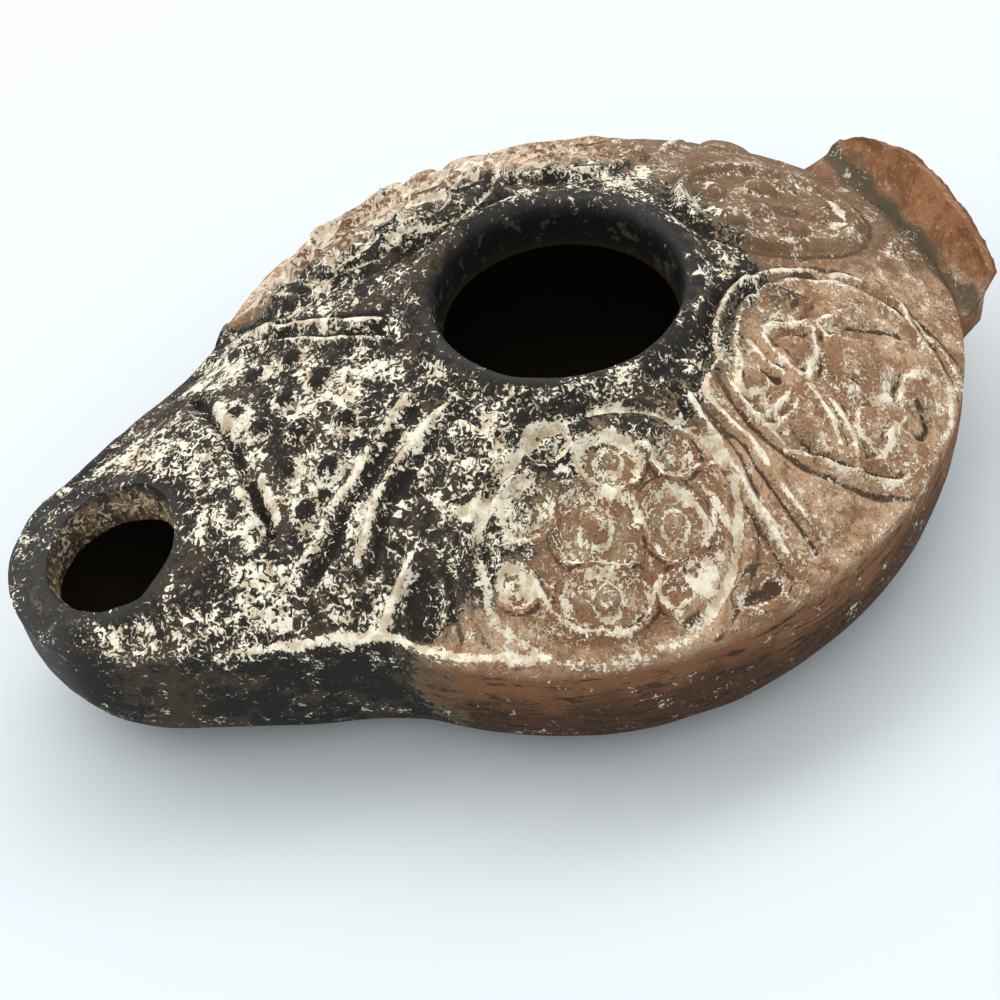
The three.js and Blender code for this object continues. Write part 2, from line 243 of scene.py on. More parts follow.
class ReliefMap:
    def __init__(self):
        self.x = np.arange(MAP_LEFT, 38.0, SQUARE)
        self.y = np.arange(MAP_FRONT, 46.0, SQUARE)
        self.height = np.zeros((len(self.y), len(self.x)))
        # One layer holds dirt together with painted shade beside the relief.
        self.layers = {name: np.zeros_like(self.height) for name in ("lime", "dust", "dirt_and_shade", "red")}

    def window(self, low, high):
        """The part of the map between two corners, with the plan positions in it."""
        across = slice(*np.searchsorted(self.x, (low[0], high[0])))
        along = slice(*np.searchsorted(self.y, (low[1], high[1])))
        x, y = np.meshgrid(self.x[across], self.y[along])
        return (along, across), x, y

    def tint(self, name, part, values):
        """Adds to a paint layer, keeping the stronger of old and new."""
        layer = self.layers[name]
        layer[part] = np.maximum(layer[part], values)

    def sample(self, layer, x, y):
        """A layer's value at plan positions, blended between squares."""
        u = np.clip((x - MAP_LEFT) / SQUARE, 0, layer.shape[1] - 1.001)
        v = np.clip((y - MAP_FRONT) / SQUARE, 0, layer.shape[0] - 1.001)
        i, j = u.astype(int), v.astype(int)
        fu, fv = u - i, v - j
        near = layer[j, i] * (1 - fu) + layer[j, i + 1] * fu
        far = layer[j + 1, i] * (1 - fu) + layer[j + 1, i + 1] * fu
        return near * (1 - fv) + far * fv


relief = ReliefMap()
print("relief map:", relief.height.shape, "squares")


# %% Soft steps, bumps and curves
def soft(value):
    """0 below 0, 1 above 1, rounded between."""
    t = np.clip(value, 0, 1)
    return t * t * (3 - 2 * t)


def bump(distance, width):
    """A rounded ridge across a line: 1 on the line, a half at the edge of its width."""
    return soft(1 - np.abs(distance) / width)


def smooth_line(given, steps=8):
    """A curve through a few given points."""
    points = np.array([given[0], *given, given[-1]], float)
    out = []
    for a, b, c, d in zip(points, points[1:], points[2:], points[3:]):
        for t in np.arange(steps) / steps:
            pull = (2 * a - 5 * b + 4 * c - d) * t * t + (3 * b - 3 * c + d - a) * t**3
            out.append(b + ((c - a) * t + pull) / 2)
    out.append(points[-1])
    return np.array(out)


def beside(points, offset):
    """The same curve moved sideways, to the left of its direction."""
    along = np.gradient(points, axis=0)
    along /= np.maximum(np.linalg.norm(along, axis=1, keepdims=True), 1e-9)
    return points + offset * np.stack([-along[:, 1], along[:, 0]], 1)


def line_distance(x, y, points):
    best = np.full(x.shape, 1e9)
    for (ax, ay), (bx, by) in zip(points, points[1:]):
        dx, dy = bx - ax, by - ay
        t = np.clip(((x - ax) * dx + (y - ay) * dy) / max(dx * dx + dy * dy, 1e-9), 0, 1)
        best = np.minimum(best, np.hypot(x - ax - t * dx, y - ay - t * dy))
    return best


# %% [markdown]
# ## Tools that press relief into the map
# Six tools are enough for this lamp: a stroke, a boss, a sunk cell with a rim, a raised disc,
# a line round a medallion, and a smear of paint. Each works only on a small window of the map,
# which keeps the lesson quick.


# %% Strokes
def stroke(
    given, width, height, lime=0.0, lime_width=0.7, dirt_and_shade=0.0, dark_beside=0.0, dark_width=0.7
):
    """A raised rib, or a scored line when the height is below zero."""
    points = smooth_line(given)
    reach = max(width, lime_width, dark_width) + abs(dark_beside)
    part, x, y = relief.window(points.min(0) - reach, points.max(0) + reach)
    d = line_distance(x, y, points)
    relief.height[part] += height * bump(d, width)
    relief.tint("lime", part, lime * bump(d, lime_width))
    # Beside the rib: painted shade with some dirt, over a slight groove.
    if dirt_and_shade > 0:
        shadow = bump(line_distance(x, y, beside(points, dark_beside)), dark_width)
        relief.height[part] -= 0.25 * dirt_and_shade * shadow
        relief.tint("dirt_and_shade", part, dirt_and_shade * shadow)


# %% Bosses
def boss(x0, y0, radius, height, ring=0.0, dirt_and_shade=0.0, ring_width=0.4):
    part, x, y = relief.window((x0 - radius - 1, y0 - radius - 1), (x0 + radius + 1, y0 + radius + 1))
    d = np.hypot(x - x0, y - y0)
    dome = np.sqrt(np.clip(1 - (d / radius) ** 2, 0, 1))
    relief.height[part] += height * dome
    relief.layers["lime"][part] *= soft((d - radius * 0.5) / (radius * 0.5))
    relief.tint("lime", part, ring * bump(d - radius, ring_width))
    # Darkens the boss and a thin ring round it: dirt, partly painted shade.
    relief.tint("dirt_and_shade", part, dirt_and_shade * soft((radius + 0.2 - d) / 0.5))


# %% Cells, smears and rings
def cell_distance(x, y, x0, y0, long, wide, turn=0.0, square=2.0):
    """Roughly how far a point is outside the cell's rim, below zero inside."""
    u = (x - x0) * math.cos(turn) + (y - y0) * math.sin(turn)
    v = (y - y0) * math.cos(turn) - (x - x0) * math.sin(turn)
    size = ((np.abs(u) / long) ** square + (np.abs(v) / wide) ** square) ** (1 / square)
    return np.hypot(u, v) * (size - 1) / np.maximum(size, 1e-3)


def sunk_cell(
    x0, y0, long, wide, turn=0.0, square=2.3, depth=0.5, lime=0.85, dust=0.6, line=0.48, name="dust"
):
    """A pressed cell with a low rim; the name says which paint lies in it."""
    reach = max(long, wide) * 1.3 + 1
    part, x, y = relief.window((x0 - reach, y0 - reach), (x0 + reach, y0 + reach))
    d = cell_distance(x, y, x0, y0, long, wide, turn, square)
    relief.height[part] += 0.3 * bump(d - 0.5, 0.6) - depth * soft(0.5 - d / 0.7)
    relief.tint("lime", part, lime * bump(d + 0.1, line))
    # Outside the rim: a thin line of painted shade with some dirt.
    relief.tint("dirt_and_shade", part, 0.7 * bump(d - 0.7, 0.4))
    relief.tint(name, part, dust * soft(-d / 0.7))


def smear(x0, y0, long, wide, turn=0.0, name="lime", strength=1.0):
    """A patch of paint with a soft edge and no relief."""
    reach = max(long, wide) + 1
    part, x, y = relief.window((x0 - reach, y0 - reach), (x0 + reach, y0 + reach))
    relief.tint(name, part, strength * soft(0.5 - cell_distance(x, y, x0, y0, long, wide, turn) / 0.8))


def raised_disc(x0, y0, long, wide, height, edge=0.8):
    reach = max(long, wide) + 2
    part, x, y = relief.window((x0 - reach, y0 - reach), (x0 + reach, y0 + reach))
    relief.height[part] += height * soft(0.5 - cell_distance(x, y, x0, y0, long, wide) / edge)


def ring_line(x0, y0, long, wide, width, height, lime=0.0, lime_width=0.7, dirt_and_shade=0.0, dark_out=0.7):
    """A rib or a scored line round a medallion, with painted shade and dirt outside it."""
    reach = max(long, wide) + width + 2
    part, x, y = relief.window((x0 - reach, y0 - reach), (x0 + reach, y0 + reach))
    d = cell_distance(x, y, x0, y0, long, wide)
    relief.height[part] += height * bump(d, width) - 0.25 * dirt_and_shade * bump(d - dark_out, 0.9)
    relief.tint("lime", part, lime * bump(d, lime_width))
    relief.tint("dirt_and_shade", part, dirt_and_shade * bump(d - dark_out, 0.7))


# %% [markdown]
# ## Front medallions
# A raised disc on each side of the nozzle panel, with a squarish cell in the middle and cells
# like petals round it. Each cell holds a ringed boss. The far disc hardly shows in the
# photograph, so it is the near one mirrored.

# %% Front medallions
FRONT_CENTRE = (24.1, -7.4)
FRONT_CELLS = [
    {"at": (23.9, -8.4), "long": 3.4, "wide": 2.7, "turn": 1.02, "square": 4.0, "boss": 1.45},
    {"at": (29.0, -10.2), "long": 3.9, "wide": 2.1, "turn": 1.11, "boss": 1.3},
    {"at": (26.3, -2.3), "long": 2.7, "wide": 2.5, "turn": 0.5, "boss": 1.2},
    {"at": (19.7, -12.9), "long": 2.3, "wide": 2.3, "boss": 1.3, "line": 1.3},
    {"at": (19.6, -5.0), "long": 2.7, "wide": 2.3, "turn": 0.6, "boss": 1.2, "line": 1.0},
    {"at": (24.2, -16.6), "long": 1.7, "wide": 1.1, "turn": 0.2, "boss": 0.6},
    {"at": (15.6, -8.7), "long": 1.7, "wide": 1.9, "boss": 0.9},
    {"at": (21.7, 0.2), "long": 1.7, "wide": 1.5, "turn": 0.4, "boss": 1.0},
]
FRONT_LINES = [
    [(24.4, -15.2), (26.8, -15.0), (29.1, -13.9), (31.0, -11.8)]
    + [(32.0, -9.4), (31.4, -7.3), (29.4, -5.3)],
    [(29.6, -4.6), (29.3, -2.0), (28.3, 0.2), (26.6, 1.5), (24.6, 1.3)],
    [(32.4, -5.3), (30.4, -5.9), (30.0, -4.4), (31.6, -2.9), (32.4, -5.3)],
    [(19.9, -1.8), (20.7, -1.2), (22.8, -1.3)],
    [(23.1, -0.2), (23.4, 2.4), (23.2, 4.6)],
]
FRONT_SMEARS = [
    (27.4, -13.2, 0.8, 0.6, 0.3),
    (30.8, -2.1, 1.3, 1.8, 0.5),
    (25.1, -15.6, 1.3, 0.6, 0.3),
    (25.3, -4.9, 0.9, 0.5, 0.4),
    (27.2, 2.1, 1.8, 0.5, 0.2),
    (17.2, -16.6, 1.8, 1.0, 0.9),
]


FRONT_RIB = {"width": 0.7, "height": 0.3, "lime": 0.85, "lime_width": 0.55, "dirt_and_shade": 0.6}


def on_side(given, side):
    """Plan points as given for side 1, mirrored for side -1."""
    return [(x * side, y) for x, y in given]


def front_medallion(side):
    x0, y0 = FRONT_CENTRE[0] * side, FRONT_CENTRE[1]
    raised_disc(x0, y0, 9.2, 11.0, 0.45)
    ring_line(x0, y0, 9.7, 11.6, 0.7, -0.3, lime=1.0, lime_width=0.8)
    ring_line(x0, y0, 10.6, 12.5, 0.9, 0.5, dirt_and_shade=0.6, dark_out=0.8)
    smear(x0, y0, 8.8, 10.6, 0.0, "red", 0.7)
    for cell in FRONT_CELLS:
        x, y, turn = cell["at"][0] * side, cell["at"][1], cell.get("turn", 0.0) * side
        square, line = cell.get("square", 2.3), cell.get("line", 0.75)
        sunk_cell(x, y, cell["long"], cell["wide"], turn, square, line=line)
        boss(x, y, cell["boss"], 0.4 + 0.3 * cell["boss"], ring=0.85)
        boss(x, y, cell["boss"] * 0.45, 0.12, ring=0.45)
    for given in FRONT_LINES:
        stroke(on_side(given, side), **FRONT_RIB, dark_beside=0.6 * side, dark_width=0.5)
    for x, y, long, wide, turn in FRONT_SMEARS:
        smear(x * side, y, long, wide, turn * side)


front_medallion(1)
front_medallion(-1)
print("front medallions: highest relief", round(float(relief.height.max()), 2), "mm")

# %% [markdown]
# ## Back medallion on the near side
# This one is almost round. A double rib frames ringed bosses and thin crossing ribs, some of
# which close into triangles, and it is rubbed almost flat in its middle.

# %% Back medallion on the near side
BACK_CENTRE = (17.2, 20.0)
BACK_BOSSES = [
    {"at": (17.4, 10.7), "radius": 1.3, "ring": 0.8},
    {"at": (22.7, 12.6), "radius": 1.6, "ring": 0.5},
    {"at": (21.0, 25.6), "radius": 1.7, "ring": 0.3},
    {"at": (23.4, 19.6), "radius": 1.9, "ring": 0.5},
    {"at": (9.9, 17.6), "radius": 1.9, "ring": 0.3},
    {"at": (11.4, 24.6), "radius": 2.0, "ring": 0.3},
    {"at": (15.5, 16.0), "radius": 1.5, "ring": 0.0},
    {"at": (17.6, 20.8), "radius": 3.0, "ring": 0.2},
]
BACK_LIME_LINES = [
    [(14.9, 10.2), (16.5, 9.4), (17.9, 9.0), (19.7, 8.9), (20.6, 9.4), (20.7, 10.3)],
    [(12.5, 14.1), (12.4, 16.5), (12.6, 18.6)],
    [(13.2, 18.4), (13.1, 14.1), (16.0, 14.3), (17.8, 15.3)],
    [(13.6, 18.8), (16.4, 17.4), (18.1, 15.8)],
    [(13.7, 12.0), (16.0, 12.7), (17.5, 13.6)],
    [(21.8, 9.7), (21.3, 11.8), (20.2, 13.6)],
    [(20.9, 9.0), (20.3, 11.3), (19.2, 13.6)],
    [(24.0, 10.3), (25.4, 12.7), (26.4, 14.2), (27.1, 15.6)],
    [(25.9, 16.0), (27.1, 15.9), (28.0, 17.0), (28.1, 18.8), (27.3, 21.2), (26.4, 24.3)],
    [(26.1, 17.9), (25.0, 19.7), (23.5, 21.6), (22.8, 23.0)],
    [(23.5, 21.6), (25.4, 23.5)],
    [(7.5, 24.0), (8.1, 26.3), (9.2, 28.2), (10.3, 29.2), (11.8, 29.6), (14.0, 29.4), (16.0, 29.0)],
    [(21.4, 23.4), (20.2, 24.0), (19.1, 25.2), (18.5, 26.8)],
    [(19.0, 15.4), (21.6, 15.6), (24.4, 15.4)],
    [(20.7, 16.5), (23.5, 16.9), (25.5, 16.4)],
    [(12.3, 21.6), (13.1, 19.6), (14.9, 20.2)],
    [(19.6, 18.6), (20.8, 20.6), (20.6, 22.6)],
]
BACK_DARK_LINES = [
    [(13.3, 22.6), (13.6, 24.9), (14.6, 27.3)],
    [(23.2, 10.7), (24.9, 13.0)],
    [(16.5, 11.6), (17.9, 12.9)],
    [(6.6, 23.5), (7.3, 25.8), (8.6, 28.0), (10.3, 30.0), (12.5, 30.9), (15.5, 30.8)],
    [(21.3, 25.0), (23.6, 24.6), (24.6, 23.0)],
]

raised_disc(*BACK_CENTRE, 10.2, 10.6, 0.3)
ring_line(*BACK_CENTRE, 11.0, 11.3, 0.9, 0.55, lime=0.7, lime_width=0.55, dirt_and_shade=0.7, dark_out=0.9)
ring_line(*BACK_CENTRE, 9.5, 9.8, 0.7, 0.45, lime=0.7, lime_width=0.5, dirt_and_shade=0.6, dark_out=0.7)
for item in BACK_BOSSES:
    x, y = item["at"]
    radius, ring = item["radius"], item["ring"]
    ring_line(x, y, radius + 0.6, radius + 0.6, 0.5, -0.3, lime=ring * 0.7, lime_width=0.4)
    boss(x, y, radius, 0.4 + 0.25 * radius, ring=ring + 0.3)
    smear(x, y, radius, radius, 0.0, "red", 0.58)
for given in BACK_LIME_LINES:
    stroke(given, 0.65, 0.36, lime=1.1, lime_width=0.4, dirt_and_shade=0.6, dark_beside=0.7, dark_width=0.45)
for given in BACK_DARK_LINES:
    stroke(given, 0.8, -0.4, dirt_and_shade=0.9, dark_width=0.7)
# Darker patches on the medallion: dirt and painted shade.
smear(9.9, 18.0, 1.9, 3.0, -0.2, "dirt_and_shade", 0.55)
smear(7.0, 21.4, 1.1, 1.2, 0.0, "dirt_and_shade", 0.9)
print("back medallion: lines", len(BACK_LIME_LINES) + len(BACK_DARK_LINES))

# %% [markdown]
# ## Back medallions on the far side
# One lies behind the ring, an oval with a smooth raised border and worn pellets inside. A
# smaller one fills the gap next to it. Both are seen at a low angle in the photograph, so
# they are kept simple.

# %% Back medallions on the far side
REAR_CENTRE = (-4.4, 24.4)
REAR_PELLETS = [
    (-7.0, 19.6, 1.7),
    (-7.0, 24.8, 1.6),
    (-2.6, 28.2, 1.6),
    (-3.0, 22.6, 1.3),
    (0.2, 24.6, 1.5),
    (-1.8, 19.4, 1.4),
    (-8.0, 28.2, 1.2),
    (-4.6, 31.0, 1.0),
]
REAR_TRIANGLE = [(4.8, 31.6), (0.6, 35.8), (3.8, 36.4), (4.8, 31.6)]
SIDE_CENTRE = (-22.4, 11.0)
SIDE_CELLS = [(-22.4, 11.0), (-18.4, 8.2), (-19.4, 15.2), (-26.4, 9.0), (-25.6, 14.4)]

ring_line(*REAR_CENTRE, 7.4, 8.4, 1.2, 0.75, lime=0.45, lime_width=0.7, dirt_and_shade=0.8, dark_out=1.4)
for x, y, radius in REAR_PELLETS:
    boss(x, y, radius, 0.35 + 0.25 * radius, ring=0.35)
    smear(x, y, radius, radius, 0.0, "red", 0.6)
# Darker patches on the medallion: dirt and painted shade.
smear(-2.9, 25.3, 1.2, 1.6, 0.0, "dirt_and_shade", 0.75)
smear(-4.0, 23.0, 0.8, 1.4, 0.0, "dirt_and_shade", 0.6)
smear(-3.9, 31.3, 1.0, 0.7, 0.3)
smear(-0.6, 29.6, 0.6, 1.4, 0.5)
raised_disc(*SIDE_CENTRE, 7.6, 7.6, 0.3)
ring_line(*SIDE_CENTRE, 7.6, 7.6, 0.9, 0.6, lime=0.5, lime_width=0.7, dirt_and_shade=0.5)
for x, y in SIDE_CELLS:
    sunk_cell(x, y, 1.9, 1.9, depth=0.3, lime=0.5)
    boss(x, y, 1.0, 0.6, ring=0.4)
stroke(REAR_TRIANGLE, 0.8, 0.35, lime=0.5, lime_width=0.5)
smear(3.2, 34.6, 1.6, 1.6, 0.0, "red", 1.0)
print("far medallions: pellets", len(REAR_PELLETS))

# %% [markdown]
# ## Nozzle panel and the strokes between the medallions
# Two pairs of ribs spread like a V from the ring to the nozzle, and hold a panel of small
# bosses closed by a straight scored line. Short ribs part the medallions. Lime lies along
# each rib, and painted shade with some dirt darkens the corner on one side of it.

# %% Strokes and panel
NEAR_V = [
    [(12.7, -31.5), (11.3, -29.1), (9.6, -27.0), (8.6, -24.7), (7.2, -22.3), (5.6, -19.7), (4.5, -17.4)],
    [(14.9, -27.3), (13.0, -25.4), (11.2, -23.4), (9.9, -21.2), (8.6, -18.8), (7.5, -16.0), (7.0, -13.4)],
]
FAR_V = [
    [(-16.9, -27.3), (-14.4, -24.8), (-12.0, -23.3), (-9.2, -21.6), (-6.8, -19.6), (-3.0, -16.2)],
    [(-16.2, -23.4), (-14.4, -22.0), (-11.8, -20.1), (-9.0, -18.2), (-5.8, -15.6)],
]
NEAR_RIBS = [
    [(6.8, 15.6), (8.3, 13.2), (10.0, 11.3), (12.0, 9.8), (15.0, 8.4)],
    [(15.0, 8.2), (17.2, 6.0), (19.6, 6.3), (22.4, 7.6), (26.4, 8.2), (31.6, 9.4)],
    [(15.8, 4.6), (20.6, 4.4), (26.2, 5.0), (30.0, 5.8), (32.8, 6.4)],
]
FAR_RIBS = [
    [(-15.2, 2.2), (-22.0, 2.4), (-31.8, 2.8)],
    [(-14.6, 17.4), (-18.4, 20.2), (-22.6, 24.4)],
]
PANEL_SCORE = [(-12.2, -32.6), (-8.4, -32.3), (-3.8, -32.2), (0.0, -32.4), (4.8, -32.6), (8.6, -32.8)]
PANEL_LIME = [
    [(-9.0, -31.6), (-4.0, -31.5)],
    [(3.4, -31.7), (7.8, -32.0)],
    [(3.0, -33.6), (7.0, -33.7)],
]
PANEL_BOSSES = [
    (-1.8, -29.6),
    (1.0, -26.8),
    (-3.2, -22.6),
    (4.0, -29.3),
    (6.3, -26.2),
    (8.6, -29.4),
    (-5.2, -30.6),
    (2.8, -22.9),
    (-8.6, -23.8),
    (-3.3, -26.2),
    (-9.4, -27.2),
]
for given in NEAR_V:
    stroke(given, 1.1, 0.6, lime=1.0, lime_width=0.68, dirt_and_shade=0.95, dark_beside=-1.2, dark_width=0.85)
for given in FAR_V:
    stroke(given, 1.1, 0.6, lime=0.8, lime_width=0.6, dirt_and_shade=1.0, dark_beside=1.1, dark_width=0.8)
for given in NEAR_RIBS:
    stroke(given, 0.9, 0.5, lime=0.95, lime_width=0.5, dirt_and_shade=0.75, dark_beside=-0.95, dark_width=0.5)
for given in FAR_RIBS:
    stroke(given, 1.2, 0.7, lime=0.6, lime_width=0.7, dirt_and_shade=0.6, dark_beside=1.0, dark_width=0.6)
for x, y in PANEL_BOSSES:
    boss(x, y, 1.25, 0.75, ring=0.75, dirt_and_shade=0.9, ring_width=0.7)
stroke(PANEL_SCORE, 0.9, -0.75, dirt_and_shade=1.0, dark_width=0.9)
for given in PANEL_LIME:
    stroke(given, 0.8, 0.3, lime=1.0, lime_width=0.8)

# %% Pillar and triangle before the front medallion
# The triangle and the side notch are filled with painted shade and dirt instead of dust.
TRIANGLE = {"square": 1.6, "depth": 0.4, "lime": 0.2, "dust": 1.0, "name": "dirt_and_shade"}
TRIANGLE_EDGE = [(16.6, -22.9), (20.2, -27.6)]
PILLAR_FRONT = [(17.6, -19.6), (21.2, -20.4), (24.8, -21.4)]
PILLAR_FRONT_RIB = {"lime": 0.55, "lime_width": 0.8, "dirt_and_shade": 0.8, "dark_width": 0.7}
PILLAR_BACK = [(16.0, -18.2), (19.4, -18.4), (23.0, -18.6)]
PILLAR_BACK_RIB = {"lime": 0.3, "lime_width": 0.7, "dirt_and_shade": 0.7, "dark_width": 0.7}
SIDE_NOTCH = {"square": 2.0, "depth": 0.4, "lime": 0.6, "dust": 0.8, "name": "dirt_and_shade"}
for side in (1, -1):
    sunk_cell(20.6 * side, -23.8, 3.4, 1.9, -0.55 * side, **TRIANGLE)
    stroke(on_side(TRIANGLE_EDGE, side), 0.8, 0.35, lime=1.0, lime_width=0.7)
    stroke(on_side(PILLAR_FRONT, side), 1.2, 0.5, **PILLAR_FRONT_RIB, dark_beside=-0.9 * side)
    stroke(on_side(PILLAR_BACK, side), 1.0, 0.4, **PILLAR_BACK_RIB, dark_beside=0.8 * side)
sunk_cell(33.0, 2.6, 0.8, 2.4, 0.05, **SIDE_NOTCH)
lowest, highest = float(relief.height.min()), float(relief.height.max())
print("relief before wear runs from", round(lowest, 2), "to", round(highest, 2), "mm")

# %% [markdown]
# ## Shoulder edge and wear
# Where the two halves were joined, a low bead runs round the edge, with lime in the corner
# behind it. Wear has left the relief high in one place and low in the next. That is done
# here with patches of smooth random numbers, first to scale the heights, and later to bend
# the sampling positions a little so that no line stays drawn by a ruler.


# %% Random patches
def patches(x, y, size, seed):
    """Smooth random values from -1 to 1 whose patches are about one size wide."""
    grid = np.random.default_rng(seed).uniform(-1, 1, (256, 256))
    u, v = x / size + 128, y / size + 128
    i, j = np.floor(u).astype(int), np.floor(v).astype(int)
    fu, fv = soft(u - i), soft(v - j)
    near = grid[i % 256, j % 256] * (1 - fu) + grid[(i + 1) % 256, j % 256] * fu
    far = grid[i % 256, (j + 1) % 256] * (1 - fu) + grid[(i + 1) % 256, (j + 1) % 256] * fu
    return near * (1 - fv) + far * fv


# %% Shoulder bead and wear
FAR_BUMPS = [
    (-24.6, -27.6, 2.2),
    (-34.0, -4.9, 2.4),
    (-33.4, -0.2, 1.7),
    (-32.9, 4.6, 2.6),
    (-22.0, 29.0, 2.6),
]
RELIEF_GAIN = 1.2
WEAR = {"spread": 0.35, "patch": 7.0}
EDGE_BEAD = 0.2
EDGE_GROOVE = 0.15
map_x, map_y = np.meshgrid(relief.x, relief.y)
inward = -plan_field(map_x, map_y)
relief.height *= RELIEF_GAIN + WEAR["spread"] * patches(map_x, map_y, WEAR["patch"], 3)
relief.height *= soft(inward / 2.2)
relief.height += EDGE_BEAD * bump(inward - 0.3, 0.9) - EDGE_GROOVE * bump(inward - 1.7, 0.9)
lime = relief.layers["lime"]
lime *= np.clip(0.85 + 0.45 * patches(map_x, map_y, 2.0, 5), 0, 1.2)
edge_lime = 0.25 + 0.75 * soft((map_x - 14) / 4) * soft((-15.5 - map_y) / 3)
relief.tint("lime", ..., edge_lime * bump(inward - 0.5, 0.7))
for x0, y0, radius in FAR_BUMPS:
    boss(x0, y0, radius, 0.9)


def blurred(layer, squares):
    """The layer's mean over a small box, twice, which is close to a soft blur."""
    out = layer
    for axis in (0, 1, 0, 1):
        pad = [(0, 0), (0, 0)]
        pad[axis] = (squares, squares)
        wide = np.pad(out, pad, mode="edge")
        total = np.cumsum(np.insert(wide, 0, 0, axis), axis)
        n = 2 * squares + 1
        top = np.take(total, range(n, total.shape[axis]), axis)
        bottom = np.take(total, range(0, total.shape[axis] - n), axis)
        out = (top - bottom) / n
    return out


# Lime in the low corners of the relief is the lamp's own; the darkening in the deeper corners is painted
# shade, with some dirt.
corners = blurred(relief.height, 4) - relief.height
relief.tint("lime", ..., soft(corners / 0.2) * 0.42 * (1 - relief.layers["dirt_and_shade"]))
relief.tint("dirt_and_shade", ..., soft((corners - 0.06) / 0.22) * 0.7)
relief.layers["dirt_and_shade"] *= 1 - 0.7 * soft(lime * 1.4)
print("lime covers", round(float((lime > 0.4).mean()) * 100, 1), "% of the map")

# %% [markdown]
# ## Soot and flecks, as maps
# Soot from the flame covers the nozzle, its panel and the ring, and fades out across the
# near medallion. Its boundary is a closed line of plan points. Cream flecks of lime sit on
# the sooty skin, thick on the panel and thin on the ring and at the nozzle's tip. Only the
# slow change is mapped here; the grain comes from the shader.

# %% Soot
SOOT_EDGE = [
    (33.0, -33.0),
    (23.2, -26.4),
    (24.4, -20.2),
    (21.6, -13.6),
    (19.6, -4.6),
    (17.8, 4.2),
    (12.4, 12.4),
    (6.6, 17.6),
    (1.1, 18.2),
    (-7.6, 18.7),
    (-15.2, 14.0),
    (-21.0, 1.6),
    (-21.0, -14.9),
    (-22.5, -25.1),
    (-30.0, -32.0),
    (-30.0, -62.0),
    (33.0, -62.0),
]
SOOT_FADE = 8.0


def inside_depth(x, y, corners_given):
    """Distance to a closed line, above zero inside it."""
    points = np.array(corners_given + corners_given[:1], float)
    odd = np.zeros(x.shape, bool)
    for (ax, ay), (bx, by) in zip(points, points[1:]):
        crosses = (ay > y) != (by > y)
        at = ax + (y - ay) * (bx - ax) / (by - ay if by != ay else 1e-9)
        odd ^= crosses & (x < at)
    d = line_distance(x, y, points)
    return np.where(odd, d, -d)


wander = 1.6 * patches(map_x, map_y, 5.0, 11) + 1.0 * patches(map_x, map_y, 1.7, 12)
soot_map = soft((inside_depth(map_x, map_y, SOOT_EDGE) + wander) / SOOT_FADE + 0.5)
distance_out = np.hypot(map_x, map_y)
on_ring = soft((15.2 - distance_out) / 1.2)
soot_map = np.maximum(soot_map, on_ring)
print("soot covers", round(float((soot_map > 0.5).mean()) * 100), "% of the map")

# %% Fleck density
WICK_HOLE = {"y": -46.6, "radius": 7.1, "radius_below": 5.8, "radius_above": 7.4, "dish": 2.4}
SMOOTH_ANGLE = 0.46
map_angle = np.arctan2(map_x, -map_y)
from_wick = np.hypot(map_x, map_y - WICK_HOLE["y"]) - WICK_HOLE["radius"]
ring_band = 11.7 + 1.4 * np.cos(map_angle - SMOOTH_ANGLE) ** 2 + 0.5 * patches(map_x, map_y, 2.5, 22)
slate_map = soft((ring_band + 0.4 - distance_out) / 0.9)
slate_map = np.maximum(slate_map, soft((1.2 - from_wick) / 1.2))
slate_map = np.maximum(slate_map, soft((-49.5 - map_y - 0.25 * map_x) / 3.0))
fleck_map = 0.88 + 0.3 * patches(map_x, map_y, 4.5, 21)
fleck_map *= 1 - 0.35 * soft((9.0 - np.hypot(map_x - 19.5, map_y + 6.0)) / 5.0)
off_ring = 0.1 + 0.7 * soft((distance_out - ring_band) / 1.0)
fleck_map *= off_ring + 0.2 * soft((distance_out - 14.5) / 4.0)
fleck_map *= 0.15 + 0.85 * soft((from_wick - 0.2) / 1.5)
fleck_map *= 0.2 + 0.8 * soft((map_y + 54.0) / 6.0)
fleck_map *= 0.4 + 0.6 * soft((inward + 0.2) / 2.4)
fleck_map *= 0.5 + 0.5 * soot_map
fleck_map *= 1 - 0.9 * relief.layers["dirt_and_shade"]
rear = soft((map_y - 13) / 6) * soft((9 - map_x) / 7)
far_flank = soft((-13.0 - map_x) / 6.0) * soft((map_y + 30) / 8) * soft((18 - map_y) / 10)
print("flecks: mean density on soot", round(float(fleck_map[soot_map > 0.5].mean()), 2))

# %% [markdown]
# ## The fine shell
# The wall's section is swept round the hole's centre in many columns. All rings of points
# are joined to the next, from the middle of the underside, round the outside, over the ring,
# down the throat and round the hollow. This gives one closed skin with a true wall, and its
# points lie close together just where relief needs them.

# %% Wall section
COLUMNS = 700
CROWDING = {"nozzle": 0.1, "near side": 0.15}
BOWL_ROWS = 14
TOP_ROWS = 84
HOLLOW_ROWS = 6
HOLE_RING = [(14.7, 26.7), (14.2, 27.3), (13.6, 28.0), (12.8, CREST_HEIGHT), (12.0, 28.1), (11.5, 27.2)]
HOLE_RING += [(11.2, 25.4), (THROAT_RADIUS, TOP_INNER_HEIGHT - ROOF)]


